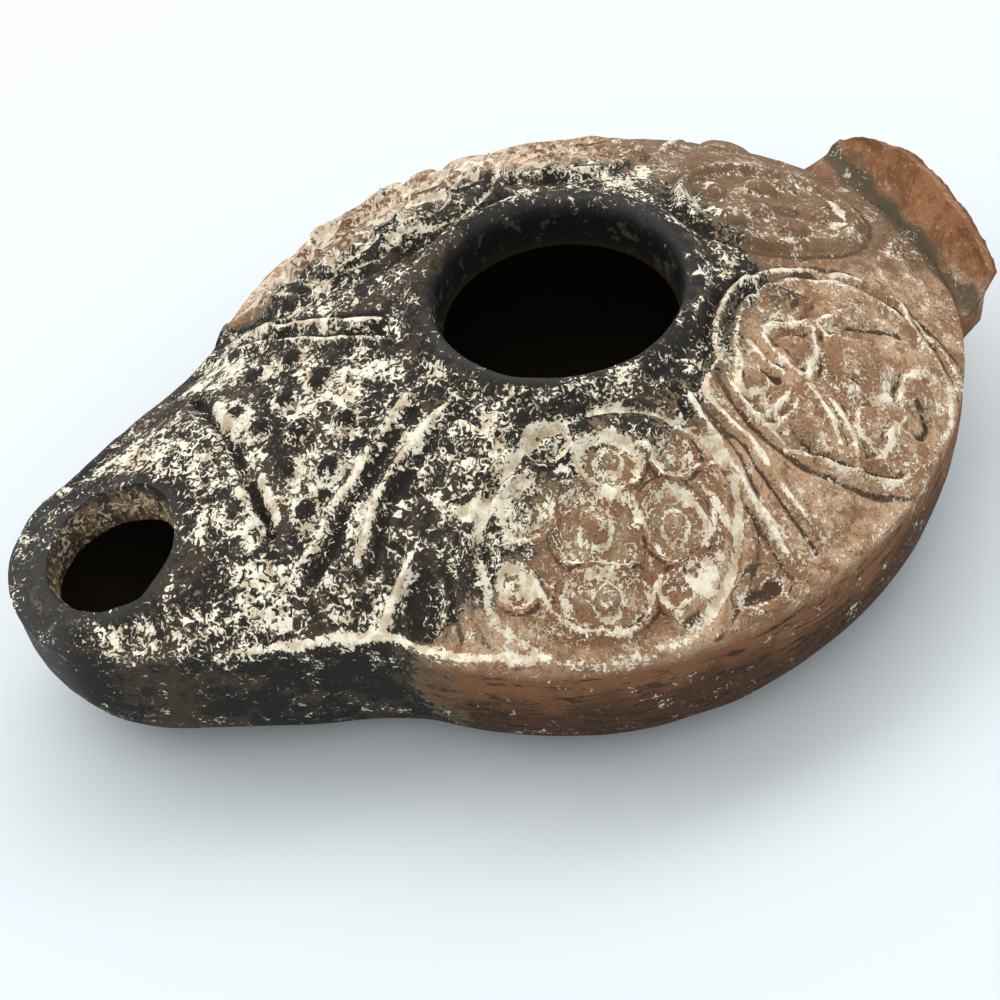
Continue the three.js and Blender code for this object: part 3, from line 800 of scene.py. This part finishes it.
def wall_section(angle):
    """Rows of radius and height for all columns at once, and which rows carry relief."""
    edge, height = edge_radius(angle), edge_height(angle)
    share = between(BASE_SHARE, angle)
    foot = foot_radius(angle) * share
    inner_base = foot - STANDING_RING
    rows = [(inner_base * 0.45, BASE_RECESS), (inner_base - BASE_RECESS, BASE_RECESS)]
    rows += [(inner_base - 0.2, 0.15), (inner_base + 0.2, 0.0), (foot - 0.4, 0.0)]
    for k in range(1, BOWL_ROWS + 1):
        rise = (k / BOWL_ROWS) ** 1.6
        rows.append((foot + (edge - foot) * bowl_swell(rise, angle), height * rise))
    first_top = len(rows)
    for k in range(1, TOP_ROWS + 1):
        r = edge + (TOP_INNER_RADIUS - edge) * (k / TOP_ROWS)
        rows.append((r, top_height(r * np.sin(angle), -r * np.cos(angle))))
    last_top = len(rows)
    rows += [tuple(p) for p in smooth_line(HOLE_RING, 2)[1:]]
    inner = edge - WALL * 1.02
    for k in range(1, HOLLOW_ROWS + 1):
        r = THROAT_RADIUS + (inner - THROAT_RADIUS) * (k / HOLLOW_ROWS)
        cover = np.maximum(r, TOP_INNER_RADIUS)
        rows.append((r, top_height(cover * np.sin(angle), -cover * np.cos(angle)) - ROOF))
    shelf = rows[-1][1]
    inner_foot = np.minimum(inner, foot_radius(angle) - WALL) * share
    for k in range(HOLLOW_ROWS - 1, -1, -1):
        rise = (k / HOLLOW_ROWS) ** 1.6
        swell = bowl_swell(rise, angle)
        rows.append((inner_foot + (inner - inner_foot) * swell, FLOOR + (shelf - FLOOR) * rise))
    return rows, first_top, last_top


even = np.arange(COLUMNS) / COLUMNS * 2 * math.pi
angles = even - CROWDING["nozzle"] * np.sin(even) + CROWDING["near side"] * np.cos(even)
rows, first_top, last_top = wall_section(angles)
print("shell rows:", len(rows), "of", COLUMNS, "columns")


# %% Lift the shell by the relief
def bent(x, y):
    """Plan positions pushed about a little, so that pressed lines look hand-made."""
    bent_x = x + 0.28 * patches(x, y, 3.1, 31) + 0.12 * patches(x, y, 0.9, 32)
    bent_y = y + 0.28 * patches(x, y, 3.1, 33) + 0.12 * patches(x, y, 0.9, 34)
    return bent_x, bent_y


radii = np.array([np.broadcast_to(r, COLUMNS) for r, _ in rows])
heights = np.array([np.broadcast_to(z, COLUMNS) for _, z in rows])
x = radii * np.sin(angles)
y = -radii * np.cos(angles)
on_top = np.zeros((len(rows), 1))
on_top[first_top - 1 : last_top] = 1.0
on_top[last_top : last_top + 3] = [[0.6], [0.3], [0.1]]
uneven = 0.12 * patches(x, y, 2.6, 35) + 0.06 * patches(x, y, 0.8, 36)
heights = heights + on_top * (relief.sample(relief.height, *bent(x, y)) + uneven)
ring_rows = slice(last_top, last_top + 12)
heights[ring_rows] -= 0.12 + 0.12 * patches(x[ring_rows], y[ring_rows], 2.2, 41)
bowl_rows = slice(6, first_top - 1)
dent = 0.12 * (1 + patches(angles[None, :] * 20, heights[bowl_rows], 2.4, 42))
x[bowl_rows] *= 1 - dent / radii[bowl_rows]
y[bowl_rows] *= 1 - dent / radii[bowl_rows]


# %% Close the shell
def closed_skin(name, x, y, z, start, end):
    """Rings of points joined in a stack, with one point at each end."""
    rings, around = x.shape
    points = np.vstack([[start], np.stack([x.ravel(), y.ravel(), z.ravel()], 1), [end]])
    i = np.arange(around)
    j = (i + 1) % around
    quads = []
    for k in range(rings - 1):
        here, above = 1 + k * around, 1 + (k + 1) * around
        quads.append(np.stack([here + i, here + j, above + j, above + i], 1))
    top = 1 + (rings - 1) * around
    faces = [tuple(f) for f in np.vstack(quads).tolist()]
    faces += [(0, b, a) for a, b in zip((1 + i).tolist(), (1 + j).tolist())]
    faces += [(a, b, len(points) - 1) for a, b in zip((top + i).tolist(), (top + j).tolist())]
    mesh = bpy.data.meshes.new(name)
    mesh.from_pydata(((points + HOLE_CENTRE) * MM).tolist(), [], faces)
    mesh.update()
    made = bpy.data.objects.new(name, mesh)
    bpy.context.collection.objects.link(made)
    return made


lamp = closed_skin("clay_lamp", x, y, heights, (0, 0, BASE_RECESS), (0, 0, FLOOR))
print("shell faces:", len(lamp.data.polygons))

# %% [markdown]
# ## The broken lug
# The handle was a low fan of clay behind the shoulder. Its upper part is lost, so the top is
# a rough break and its near end a sharp corner. The same sections as in the CAD solid are
# joined, and then every point is pushed a little by three-dimensional noise.

# %% Lug
LUG = {
    "left": -16.4,
    "right": 10.9,
    "reach": 42.6,
    "foot": 38.4,
    "top": 20.5,
    "waist": 12.5,
    "under": 8.0,
}
LUG_CORNER = {"shorter": 1.5, "lower": 0.9}
LUG_STATIONS = 60


def lug_outline(share):
    """How far back and how high the lug is, at a share of its width from -1 to 1."""
    fullness = np.where(share < 0, 2.0, 5.0)
    swell = (1 - np.abs(share) ** fullness) ** (1 / fullness)
    reach_least = np.where(share < 0, 0.05, 0.4)
    top_least = np.where(share < 0, 0.0, 0.72)
    corner = np.maximum(share, 0) ** 1.5
    full_reach = LUG["reach"] - LUG_CORNER["shorter"] * corner - LUG["foot"]
    full_top = LUG["top"] - LUG_CORNER["lower"] * corner - EDGE_BACK
    reach = LUG["foot"] + full_reach * (reach_least + (1 - reach_least) * swell)
    top = EDGE_BACK + full_top * (top_least + (1 - top_least) * swell)
    return reach, top, swell**0.5


def lug_section(share):
    x = (LUG["left"] + LUG["right"]) / 2 + share * (LUG["right"] - LUG["left"]) / 2
    reach, top, belly = (float(v) for v in lug_outline(np.float64(share)))
    slope = (LUG["foot"] + reach) / 2
    hidden = LUG["foot"] - 6
    given = [
        (hidden, EDGE_BACK - 1.5),
        (LUG["foot"] - 0.6, EDGE_BACK + 0.1),
        (slope, (EDGE_BACK + top) / 2 + 1.1),
        (max(reach - 1.3, slope + 0.1), top),
        (reach, top - 0.9),
        (reach - 1.2, top - 3.0),
        (LUG["foot"] - 0.6 + 1.4 * belly, LUG["waist"] + 1.5 * (1 - belly)),
        (hidden + 1.5, LUG["under"] + 3 * (1 - belly)),
    ]
    fine = []
    for (ya, za), (yb, zb) in zip(given, given[1:]):
        for t in np.arange(6) / 6:
            fine.append((x, ya + (yb - ya) * t, za + (zb - za) * t))
    fine.append((x, *given[-1]))
    return fine[::-1]


def broken(point):
    """Coarse and fine noise, as on a clay break. It takes away more than it adds."""
    p = Vector(point)
    rough = noise.noise(p * 0.35) * 0.3 + noise.noise(p * 1.1) * 0.18 + noise.noise(p * 2.7) * 0.08
    return p + Vector((0, 0.7, 0.7)) * (rough - 0.15)


sections = []
for i in range(LUG_STATIONS + 1):
    sections.append([tuple(broken(p)) for p in lug_section(2 * i / LUG_STATIONS - 1)])
sections = np.array(sections)
ends = [(sections[k][0][0], LUG["foot"] - 0.4, EDGE_BACK - 0.15) for k in (0, -1)]
lug_solid = closed_skin("lug", sections[:, :, 0], sections[:, :, 1], sections[:, :, 2], *ends)
print("lug faces:", len(lug_solid.data.polygons))


# %% Wick hole cutter
WICK_LEAN = (0.3, 0.9)
WICK_ROWS = 16
WICK_COLUMNS = 90
WICK_UNEVEN = 0.2


def wick_cutter():
    """A round tool that is wide above the dished rim and leans a little below it."""
    turn = np.arange(WICK_COLUMNS) / WICK_COLUMNS * 2 * math.pi
    low, high = FLOOR + 4, EDGE_NOZZLE + 10
    rim = float(top_height(0.0, WICK_HOLE["y"]))
    z = np.linspace(low, high, WICK_ROWS)[:, None]
    below, above = WICK_HOLE["radius_below"], WICK_HOLE["radius_above"]
    r = np.interp(z, (low, rim - WICK_HOLE["dish"], rim, high), (below, below, WICK_HOLE["radius"], above))
    r = r + WICK_UNEVEN * patches(np.cos(turn) * 3 + 9, np.sin(turn) * 3 + z * 0.3, 1.2, 51) - 0.05
    lean = soft((rim - z) / WICK_HOLE["dish"])
    across = r * np.cos(turn) + WICK_LEAN[0] * lean
    along = r * np.sin(turn) + WICK_HOLE["y"] + WICK_LEAN[1] * lean
    ends = ((0, WICK_HOLE["y"], low), (0, WICK_HOLE["y"], high))
    return closed_skin("wick_cutter", across, along, np.broadcast_to(z, r.shape), *ends)


cutter = wick_cutter()


# %% Join and cut
def combine(target, tool, operation):
    step = target.modifiers.new(operation.lower(), "BOOLEAN")
    step.operation = operation
    step.object = tool
    step.solver = "MANIFOLD"
    bpy.context.view_layer.update()
    made = bpy.data.meshes.new_from_object(target.evaluated_get(bpy.context.evaluated_depsgraph_get()))
    target.modifiers.remove(step)
    target.data = made
    bpy.data.objects.remove(tool)


combine(lamp, lug_solid, "UNION")
combine(lamp, cutter, "DIFFERENCE")
print("lamp triangles:", sum(len(p.vertices) - 2 for p in lamp.data.polygons))

# %% [markdown]
# ## Painting the maps onto the mesh
# The finished mesh gets one number per point and map. The shader reads these by name. Points
# of the hollow are found by asking how deep they lie under the outer skin.

# %% Keep the mesh inside the CAD box
flat = np.empty(len(lamp.data.vertices) * 3, np.float32)
lamp.data.vertices.foreach_get("co", flat)
points = np.clip(flat.reshape(-1, 3).astype(float), np.array(cad_low), np.array(cad_high))
lamp.data.vertices.foreach_set("co", points.astype(np.float32).ravel())
lamp.data.update()
px, py, pz = (points / MM - HOLE_CENTRE).T

# %% Where each point lies
angle = np.arctan2(px, -py)
out = np.hypot(px, py)
edge = edge_radius(angle)
height = edge_height(angle)
rise = np.clip(pz / height, 0, 1)
foot = foot_radius(angle) * between(BASE_SHARE, angle)
bowl = foot + (edge - foot) * bowl_swell(rise, angle)
skin_top = np.where(out < TOP_INNER_RADIUS, 40.0, top_height(px, py))
below_skin = np.minimum(skin_top - pz, bowl - out)
wick_out = np.hypot(px, py - WICK_HOLE["y"])
in_wick = wick_out < WICK_HOLE["radius"] + 0.1
in_throat = (out < 12.4) & (pz < 27.8)
throat = in_throat * soft((27.8 - pz) / 1.2)
hollow = soft((below_skin - 1.6) / 1.0) * (pz > 1.5) * ~in_wick
hollow = np.where(out < TOP_INNER_RADIUS, soft((24.6 - pz) / 1.5) * (pz > 1.5), hollow)
hollow = np.maximum(hollow, in_wick * soft((skin_top - pz - 2.8) / 2.6))
wick = in_wick * soft((skin_top - pz) / 0.8)
lug_share = 2 * (px - LUG["left"]) / (LUG["right"] - LUG["left"]) - 1
lug_reach = lug_outline(np.clip(lug_share, -1, 1))[0]
at_lug = (np.abs(lug_share) < 1.05) & (py > LUG["foot"] - 4) & (pz > 7)
on_lug = at_lug * soft((py - LUG["foot"] - 0.2 + 0.5 * patches(px, py, 1.6, 61)) / 0.7)
lug_rim = at_lug * soft((py - lug_reach + 0.9) / 0.6)
grime = at_lug * bump(py - LUG["foot"] + 0.7 + 0.5 * patches(px, py, 2.4, 62), 1.6) * (pz > height - 1)
below_edge = soft((height + 0.2 - pz) / 1.2) * (1 - on_lug)
upper = (1 - below_edge) * (1 - on_lug)


# %% Numbers for the shader
def paint(name, values):
    layer = lamp.data.attributes.new(name, "FLOAT", "POINT")
    layer.data.foreach_set("value", np.ascontiguousarray(values, np.float32))
    print(f"{name}: mean {values.mean():.2f}")


bent_x, bent_y = bent(px, py)
for name, layer in relief.layers.items():
    paint(name, relief.sample(layer, bent_x, bent_y) * np.maximum(upper, bump(pz - height, 1.0)))
paint("soot", relief.sample(soot_map, px, py) * (1 - on_lug))
paint("flecks", relief.sample(fleck_map, px, py) * (0.1 + 0.9 * upper))
paint("slate", relief.sample(slate_map, px, py))
paint("far", relief.sample(far_flank, px, py) * upper)
paint("rear", relief.sample(rear, px, py) * upper)
paint("hollow", hollow)
paint("throat", throat)
paint("wick", wick)
paint("lug", on_lug)
paint("rim", lug_rim)
paint("grime", grime)
paint("side", below_edge)
# How far down the side a point lies, used for the painted shade that grows towards the bottom.
paint("low", soft((height - pz) / height))

# %% Smooth shading with sharp breaks
lamp.data.polygons.foreach_set("use_smooth", np.ones(len(lamp.data.polygons), bool))
lamp.data.set_sharp_from_angle(angle=math.radians(50))

# %% [markdown]
# ## Shader maths as plain expressions
# A clay finish is a stack of soft masks. Written node by node it is long and hard to follow,
# so a small class wraps a socket and turns + - * into Math nodes. Then a mask can be written
# as it is said: soot where the map plus a little noise passes a threshold.


# %% Values that add their own nodes
class Value:
    def __init__(self, finish, socket):
        self.finish = finish
        self.socket = socket

    def __add__(self, other):
        return self.finish.maths("ADD", self, other)

    def __sub__(self, other):
        return self.finish.maths("SUBTRACT", self, other)

    def __rsub__(self, other):
        return self.finish.maths("SUBTRACT", other, self)

    def __mul__(self, other):
        return self.finish.maths("MULTIPLY", self, other)

    def above(self, threshold, softness):
        """0 below the threshold, 1 a little above it."""
        return self.finish.add(
            "ShaderNodeMapRange",
            {"interpolation_type": "SMOOTHSTEP", "clamp": True},
            {"Value": self, "From Min": threshold, "From Max": threshold + softness},
        )

    __radd__ = __add__
    __rmul__ = __mul__


# %% Finish: a material and its nodes
class Finish:
    def __init__(self, name):
        self.material = bpy.data.materials.new(name)
        self.material.use_nodes = True
        self.tree = self.material.node_tree
        self.surface = self.tree.nodes["Principled BSDF"]

    def add(self, kind, settings=None, sockets=None, output=0):
        """One node: its settings first, then values or links for its sockets."""
        node = self.tree.nodes.new(kind)
        for key, value in (settings or {}).items():
            setattr(node, key, value)
        for key, value in (sockets or {}).items():
            self.plug(node.inputs[key], value)
        return Value(self, node.outputs[output])

    def plug(self, socket, value):
        if isinstance(value, Value):
            self.tree.links.new(value.socket, socket)
        else:
            socket.default_value = value

    def maths(self, operation, a, b):
        return self.add("ShaderNodeMath", {"operation": operation}, {0: a, 1: b})

    def mix(self, share, a, b):
        """A colour between two colours."""
        sockets = {"Factor": share, 6: a, 7: b}
        return self.add("ShaderNodeMix", {"data_type": "RGBA"}, sockets, 2)

    def painted(self, name):
        return self.add("ShaderNodeAttribute", {"attribute_name": name}, None, 2)

    def place(self, stretch=(1, 1, 1)):
        """Positions in millimetres, squeezed where a grain is drawn out."""
        position = self.add("ShaderNodeTexCoord", None, None, 3)
        scale = tuple(s / MM for s in stretch)
        return self.add("ShaderNodeVectorMath", {"operation": "MULTIPLY"}, {0: position, 1: scale})

    def grain(self, place, size, detail=2.0, roughness=0.5, distortion=0.0):
        """Cloudy noise from 0 to 1 whose clouds are about one size wide, in millimetres."""
        sockets = {"Vector": place, "Scale": 1 / size, "Detail": detail}
        sockets.update({"Roughness": roughness, "Distortion": distortion})
        return self.add("ShaderNodeTexNoise", None, sockets)


def colour(red, green, blue):
    """A colour as read from the photograph's screen values, made linear."""
    linear = []
    for v in (red, green, blue):
        c = v / 255
        linear.append(c / 12.92 if c <= 0.04045 else ((c + 0.055) / 1.055) ** 2.4)
    return (*linear, 1.0)


# %% [markdown]
# ## The clay finish
# Fired clay is never one colour. It is painted from the bottom up: warm clay with tan and
# brown clouds, red bosses and dusty cells, painted shade with dirt beside the relief, a
# browner back and a far flank with pale strokes and a painted highlight, a side in painted
# shade that grows darker towards the bottom, with darker streaks, the bare orange break of
# the lug, then soot, then lime lines and cream flecks, and last the darkness of the hollow.

# %% Grain of the surface
clay = Finish("fired_clay")
place = clay.place()
clouds = clay.grain(place, 7.0, 3.0, 0.55)
islands = clay.grain(place, 3.0, 2.0, 0.5)
mottle = clay.grain(place, 1.5, 4.0, 0.65)
speckle = clay.grain(place, 0.42, 3.0, 0.6)
crumbs = clay.grain(place, 0.42, 3.0, 0.6, 0.8)
flake = clay.grain(place, 0.62, 3.0, 0.6, 1.2)
broad_flake = clay.grain(clay.place((1, 0.55, 1)), 1.5, 4.0, 0.6, 1.0)

# %% Clay ground
CLAY_BROWN = colour(132, 98, 70)
CLAY_TAN = colour(176, 143, 111)
CLAY_DEEP = colour(88, 64, 46)
CLAY_RED = colour(112, 74, 49)
CELL_DUST = colour(146, 130, 100)
PALE_CLAY = colour(208, 186, 158)
CREVICE = colour(60, 44, 32)

tone = clouds * 0.4 + mottle * 0.6
ground = clay.mix(tone.above(0.42, 0.16), CLAY_BROWN, CLAY_TAN)
red_mask = (clay.painted("red") + (mottle - 0.5) * 1.2).above(0.45, 0.3)
ground = clay.mix(red_mask * 0.85, ground, CLAY_RED)
dust_mask = (clay.painted("dust") + (mottle - 0.5) * 2.0).above(0.45, 0.3)
ground = clay.mix(dust_mask * 0.7, ground, CELL_DUST)
ground = clay.mix(speckle.above(0.51, 0.1) * 0.7, ground, CLAY_DEEP)
# Darkening beside the relief and in its corners: painted shade, with some dirt.
dirt_and_shade = clay.painted("dirt_and_shade")
dirt_and_shade_mask = (dirt_and_shade + (mottle - 0.5) * 0.9).above(0.4, 0.2)
ground = clay.mix((crumbs + (islands - 0.5) * 0.4).above(0.53, 0.06) * 0.5, ground, PALE_CLAY)
ground = clay.mix(dirt_and_shade_mask * 0.9, ground, CREVICE)

# %% Far flank and rear
REAR_BROWN = colour(98, 74, 54)
ground = clay.mix(clay.painted("rear") * 0.7, ground, REAR_BROWN)
# Pale patches on the far flank, which faces the light: cream strokes, and a painted highlight.
FLANK_PINK = colour(208, 190, 170)
far_strokes_and_highlight_mask = (broad_flake + clay.painted("far") * 0.26).above(0.75, 0.05)
ground = clay.mix(far_strokes_and_highlight_mask * 0.85, ground, FLANK_PINK)

# %% Side of the bowl
# The side of the bowl is painted darker than the top, and darker again towards the bottom: painted shade.
# The black streaks are the clay's own.
SIDE_SHADE_BROWN = colour(118, 80, 53)
SIDE_LOW_SHADE = colour(68, 45, 29)
SIDE_STREAK = colour(38, 27, 19)
side = clay.painted("side")
streaks = clay.grain(clay.place((0.3, 0.3, 1.6)), 1.1, 4.0, 0.65, 0.5)
low = clay.painted("low")
shaded_side_clay = clay.mix((low + (clouds - 0.5) * 0.9).above(0.05, 0.4), SIDE_SHADE_BROWN, SIDE_LOW_SHADE)
shaded_side_clay = clay.mix((streaks + low * 0.06).above(0.53, 0.1) * 0.8, shaded_side_clay, SIDE_STREAK)
shaded_side_clay = clay.mix(speckle.above(0.57, 0.1) * 0.35, shaded_side_clay, CLAY_BROWN)
ground = clay.mix(side, ground, shaded_side_clay)

# %% Broken lug
BREAK_ORANGE = colour(152, 106, 72)
BREAK_BROWN = colour(120, 80, 52)
GRIME = colour(84, 76, 60)
break_clay = clay.mix((mottle * 0.6 + clouds * 0.4).above(0.43, 0.15), BREAK_BROWN, BREAK_ORANGE)
break_clay = clay.mix(speckle.above(0.56, 0.1) * 0.5, break_clay, CLAY_TAN)
rim_mask = (clay.painted("rim") + (mottle - 0.5)).above(0.5, 0.3)
break_clay = clay.mix(rim_mask * 0.6, break_clay, CREVICE)
ground = clay.mix(clay.painted("lug"), ground, break_clay)
grime_mask = (clay.painted("grime") + (mottle - 0.5) * 1.4).above(0.45, 0.3)
ground = clay.mix(grime_mask * 0.85, ground, GRIME)

# %% Soot
SMOKE = colour(98, 86, 68)
SOOT = colour(24, 25, 25)
SOOT_BROWN = colour(58, 50, 40)
SLATE = colour(37, 37, 37)
soot = clay.painted("soot")
ragged = (islands - 0.5) * 1.1 + (mottle - 0.5) * 1.0
smoke_mask = (soot + ragged * 0.7).above(0.12, 0.35)
soot_mask = (soot + ragged + (speckle - 0.5) * 1.2).above(0.5, 0.1)
soot_clay = clay.mix((clouds * 0.5 + mottle * 0.5).above(0.47, 0.1), SOOT, SOOT_BROWN)
soot_clay = clay.mix(islands.above(0.55, 0.1) * 0.5, soot_clay, SLATE)
soot_clay = clay.mix(clay.painted("slate") * (0.5 + mottle * 0.6), soot_clay, SLATE)
# The same painted shade and dirt, darker still on the soot.
soot_clay = clay.mix(dirt_and_shade_mask * 0.8, soot_clay, colour(18, 16, 15))
sooty = clay.mix(smoke_mask * 0.75, ground, SMOKE)
sooty = clay.mix(soot_mask * 0.95, sooty, soot_clay)

# %% Lime lines and flecks
LIME = colour(232, 224, 202)
LIME_TAN = colour(200, 182, 152)
OLIVE = colour(100, 94, 78)
line_mask = (clay.painted("lime") + (crumbs - 0.5) * 2.2 + (islands - 0.5) * 0.6).above(0.43, 0.12)
cover = flake + (islands - 0.5) * 0.55 + clay.painted("flecks") * 0.17 - clay.painted("lug") * 0.12
cream = clay.mix(mottle.above(0.42, 0.14), LIME_TAN, LIME)
limed = clay.mix(cover.above(0.63, 0.04) * soot_mask * 0.8, sooty, OLIVE)
fleck_mask = cover.above(0.685, 0.03)
limed = clay.mix(fleck_mask * (0.6 + soot_mask * 0.35), limed, cream)
limed = clay.mix(line_mask * 0.92, limed, cream)

# %% Wick hole, throat and hollow
OCHRE = colour(122, 102, 70)
THROAT_DARK = colour(14, 15, 16)
THROAT_OLIVE = colour(66, 60, 44)
HOLLOW_DARK = colour(44, 36, 22)
wick_clay = clay.mix(mottle.above(0.45, 0.15), SOOT_BROWN, OCHRE)
wick_clay = clay.mix(flake.above(0.53, 0.06) * 0.8, wick_clay, LIME_TAN)
skin = clay.mix(clay.painted("wick"), limed, wick_clay)
throat_clay = clay.mix((mottle + speckle * 0.3).above(0.7, 0.08), THROAT_DARK, THROAT_OLIVE)
skin = clay.mix(clay.painted("throat"), skin, throat_clay)
skin = clay.mix(clay.painted("hollow"), skin, HOLLOW_DARK)

# %% Roughness, bump and the shader
pits = speckle * 0.5 + mottle * 0.6 + fleck_mask * 0.3 + line_mask * 0.2
bumpy = clay.add("ShaderNodeBump", None, {"Height": pits, "Strength": 0.7, "Distance": 0.3 * MM})
clay.plug(clay.surface.inputs["Base Color"], skin)
clay.plug(clay.surface.inputs["Roughness"], 0.85 - clay.painted("slate") * 0.25)
clay.plug(clay.surface.inputs["Normal"], bumpy)
clay.surface.inputs["Specular IOR Level"].default_value = 0.2
lamp.data.materials.clear()
lamp.data.materials.append(clay.material)
print("clay nodes:", len(clay.tree.nodes))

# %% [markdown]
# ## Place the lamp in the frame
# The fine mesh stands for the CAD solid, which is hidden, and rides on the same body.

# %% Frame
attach(lamp, "root")
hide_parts("lamp_body")

# %% [markdown]
# ## Studio
# The photograph shows a bright pale ground and a light, soft shadow on the near side. One
# wide light above and behind the lamp, as the camera sees it, and a bright world give that.

# %% Floor
HALF = 2.0
PAPER = colour(208, 213, 215)
floor_mesh = bpy.data.meshes.new("floor")
floor_corners = [(-HALF, -HALF, 0), (HALF, -HALF, 0), (HALF, HALF, 0), (-HALF, HALF, 0)]
floor_mesh.from_pydata(floor_corners, [], [(0, 1, 2, 3)])
floor = bpy.data.objects.new("floor", floor_mesh)
bpy.context.collection.objects.link(floor)
paper = Finish("pale_paper")
paper.surface.inputs["Base Color"].default_value = PAPER
paper.surface.inputs["Roughness"].default_value = 0.9
paper.surface.inputs["Specular IOR Level"].default_value = 0.1
floor_mesh.materials.append(paper.material)


# %% Lights
WINDOW = {"direction": (-0.5, 0.0, 1.0), "distance": 0.9, "size": (2.0, 0.4), "power": 7.5}
SKY = (0.94, 0.97, 1.0, 1.0)
SKY_STRENGTH = 1.08


def soft_light(name, direction, distance, size, power):
    """A wide area light; its long side lies level."""
    made = bpy.data.objects.new(name, bpy.data.lights.new(name, "AREA"))
    made.data.shape = "RECTANGLE"
    made.data.size, made.data.size_y = size
    made.data.energy = power
    bpy.context.collection.objects.link(made)
    made.location = Vector(direction).normalized() * distance
    made.rotation_euler = Vector(direction).to_track_quat("Z", "Y").to_euler()


soft_light("window", **WINDOW)
world = bpy.data.worlds.new("studio")
bpy.context.scene.world = world
world.use_nodes = True
background = world.node_tree.nodes["Background"]
background.inputs["Color"].default_value = SKY
background.inputs["Strength"].default_value = SKY_STRENGTH
bpy.context.scene.view_settings.view_transform = "Standard"
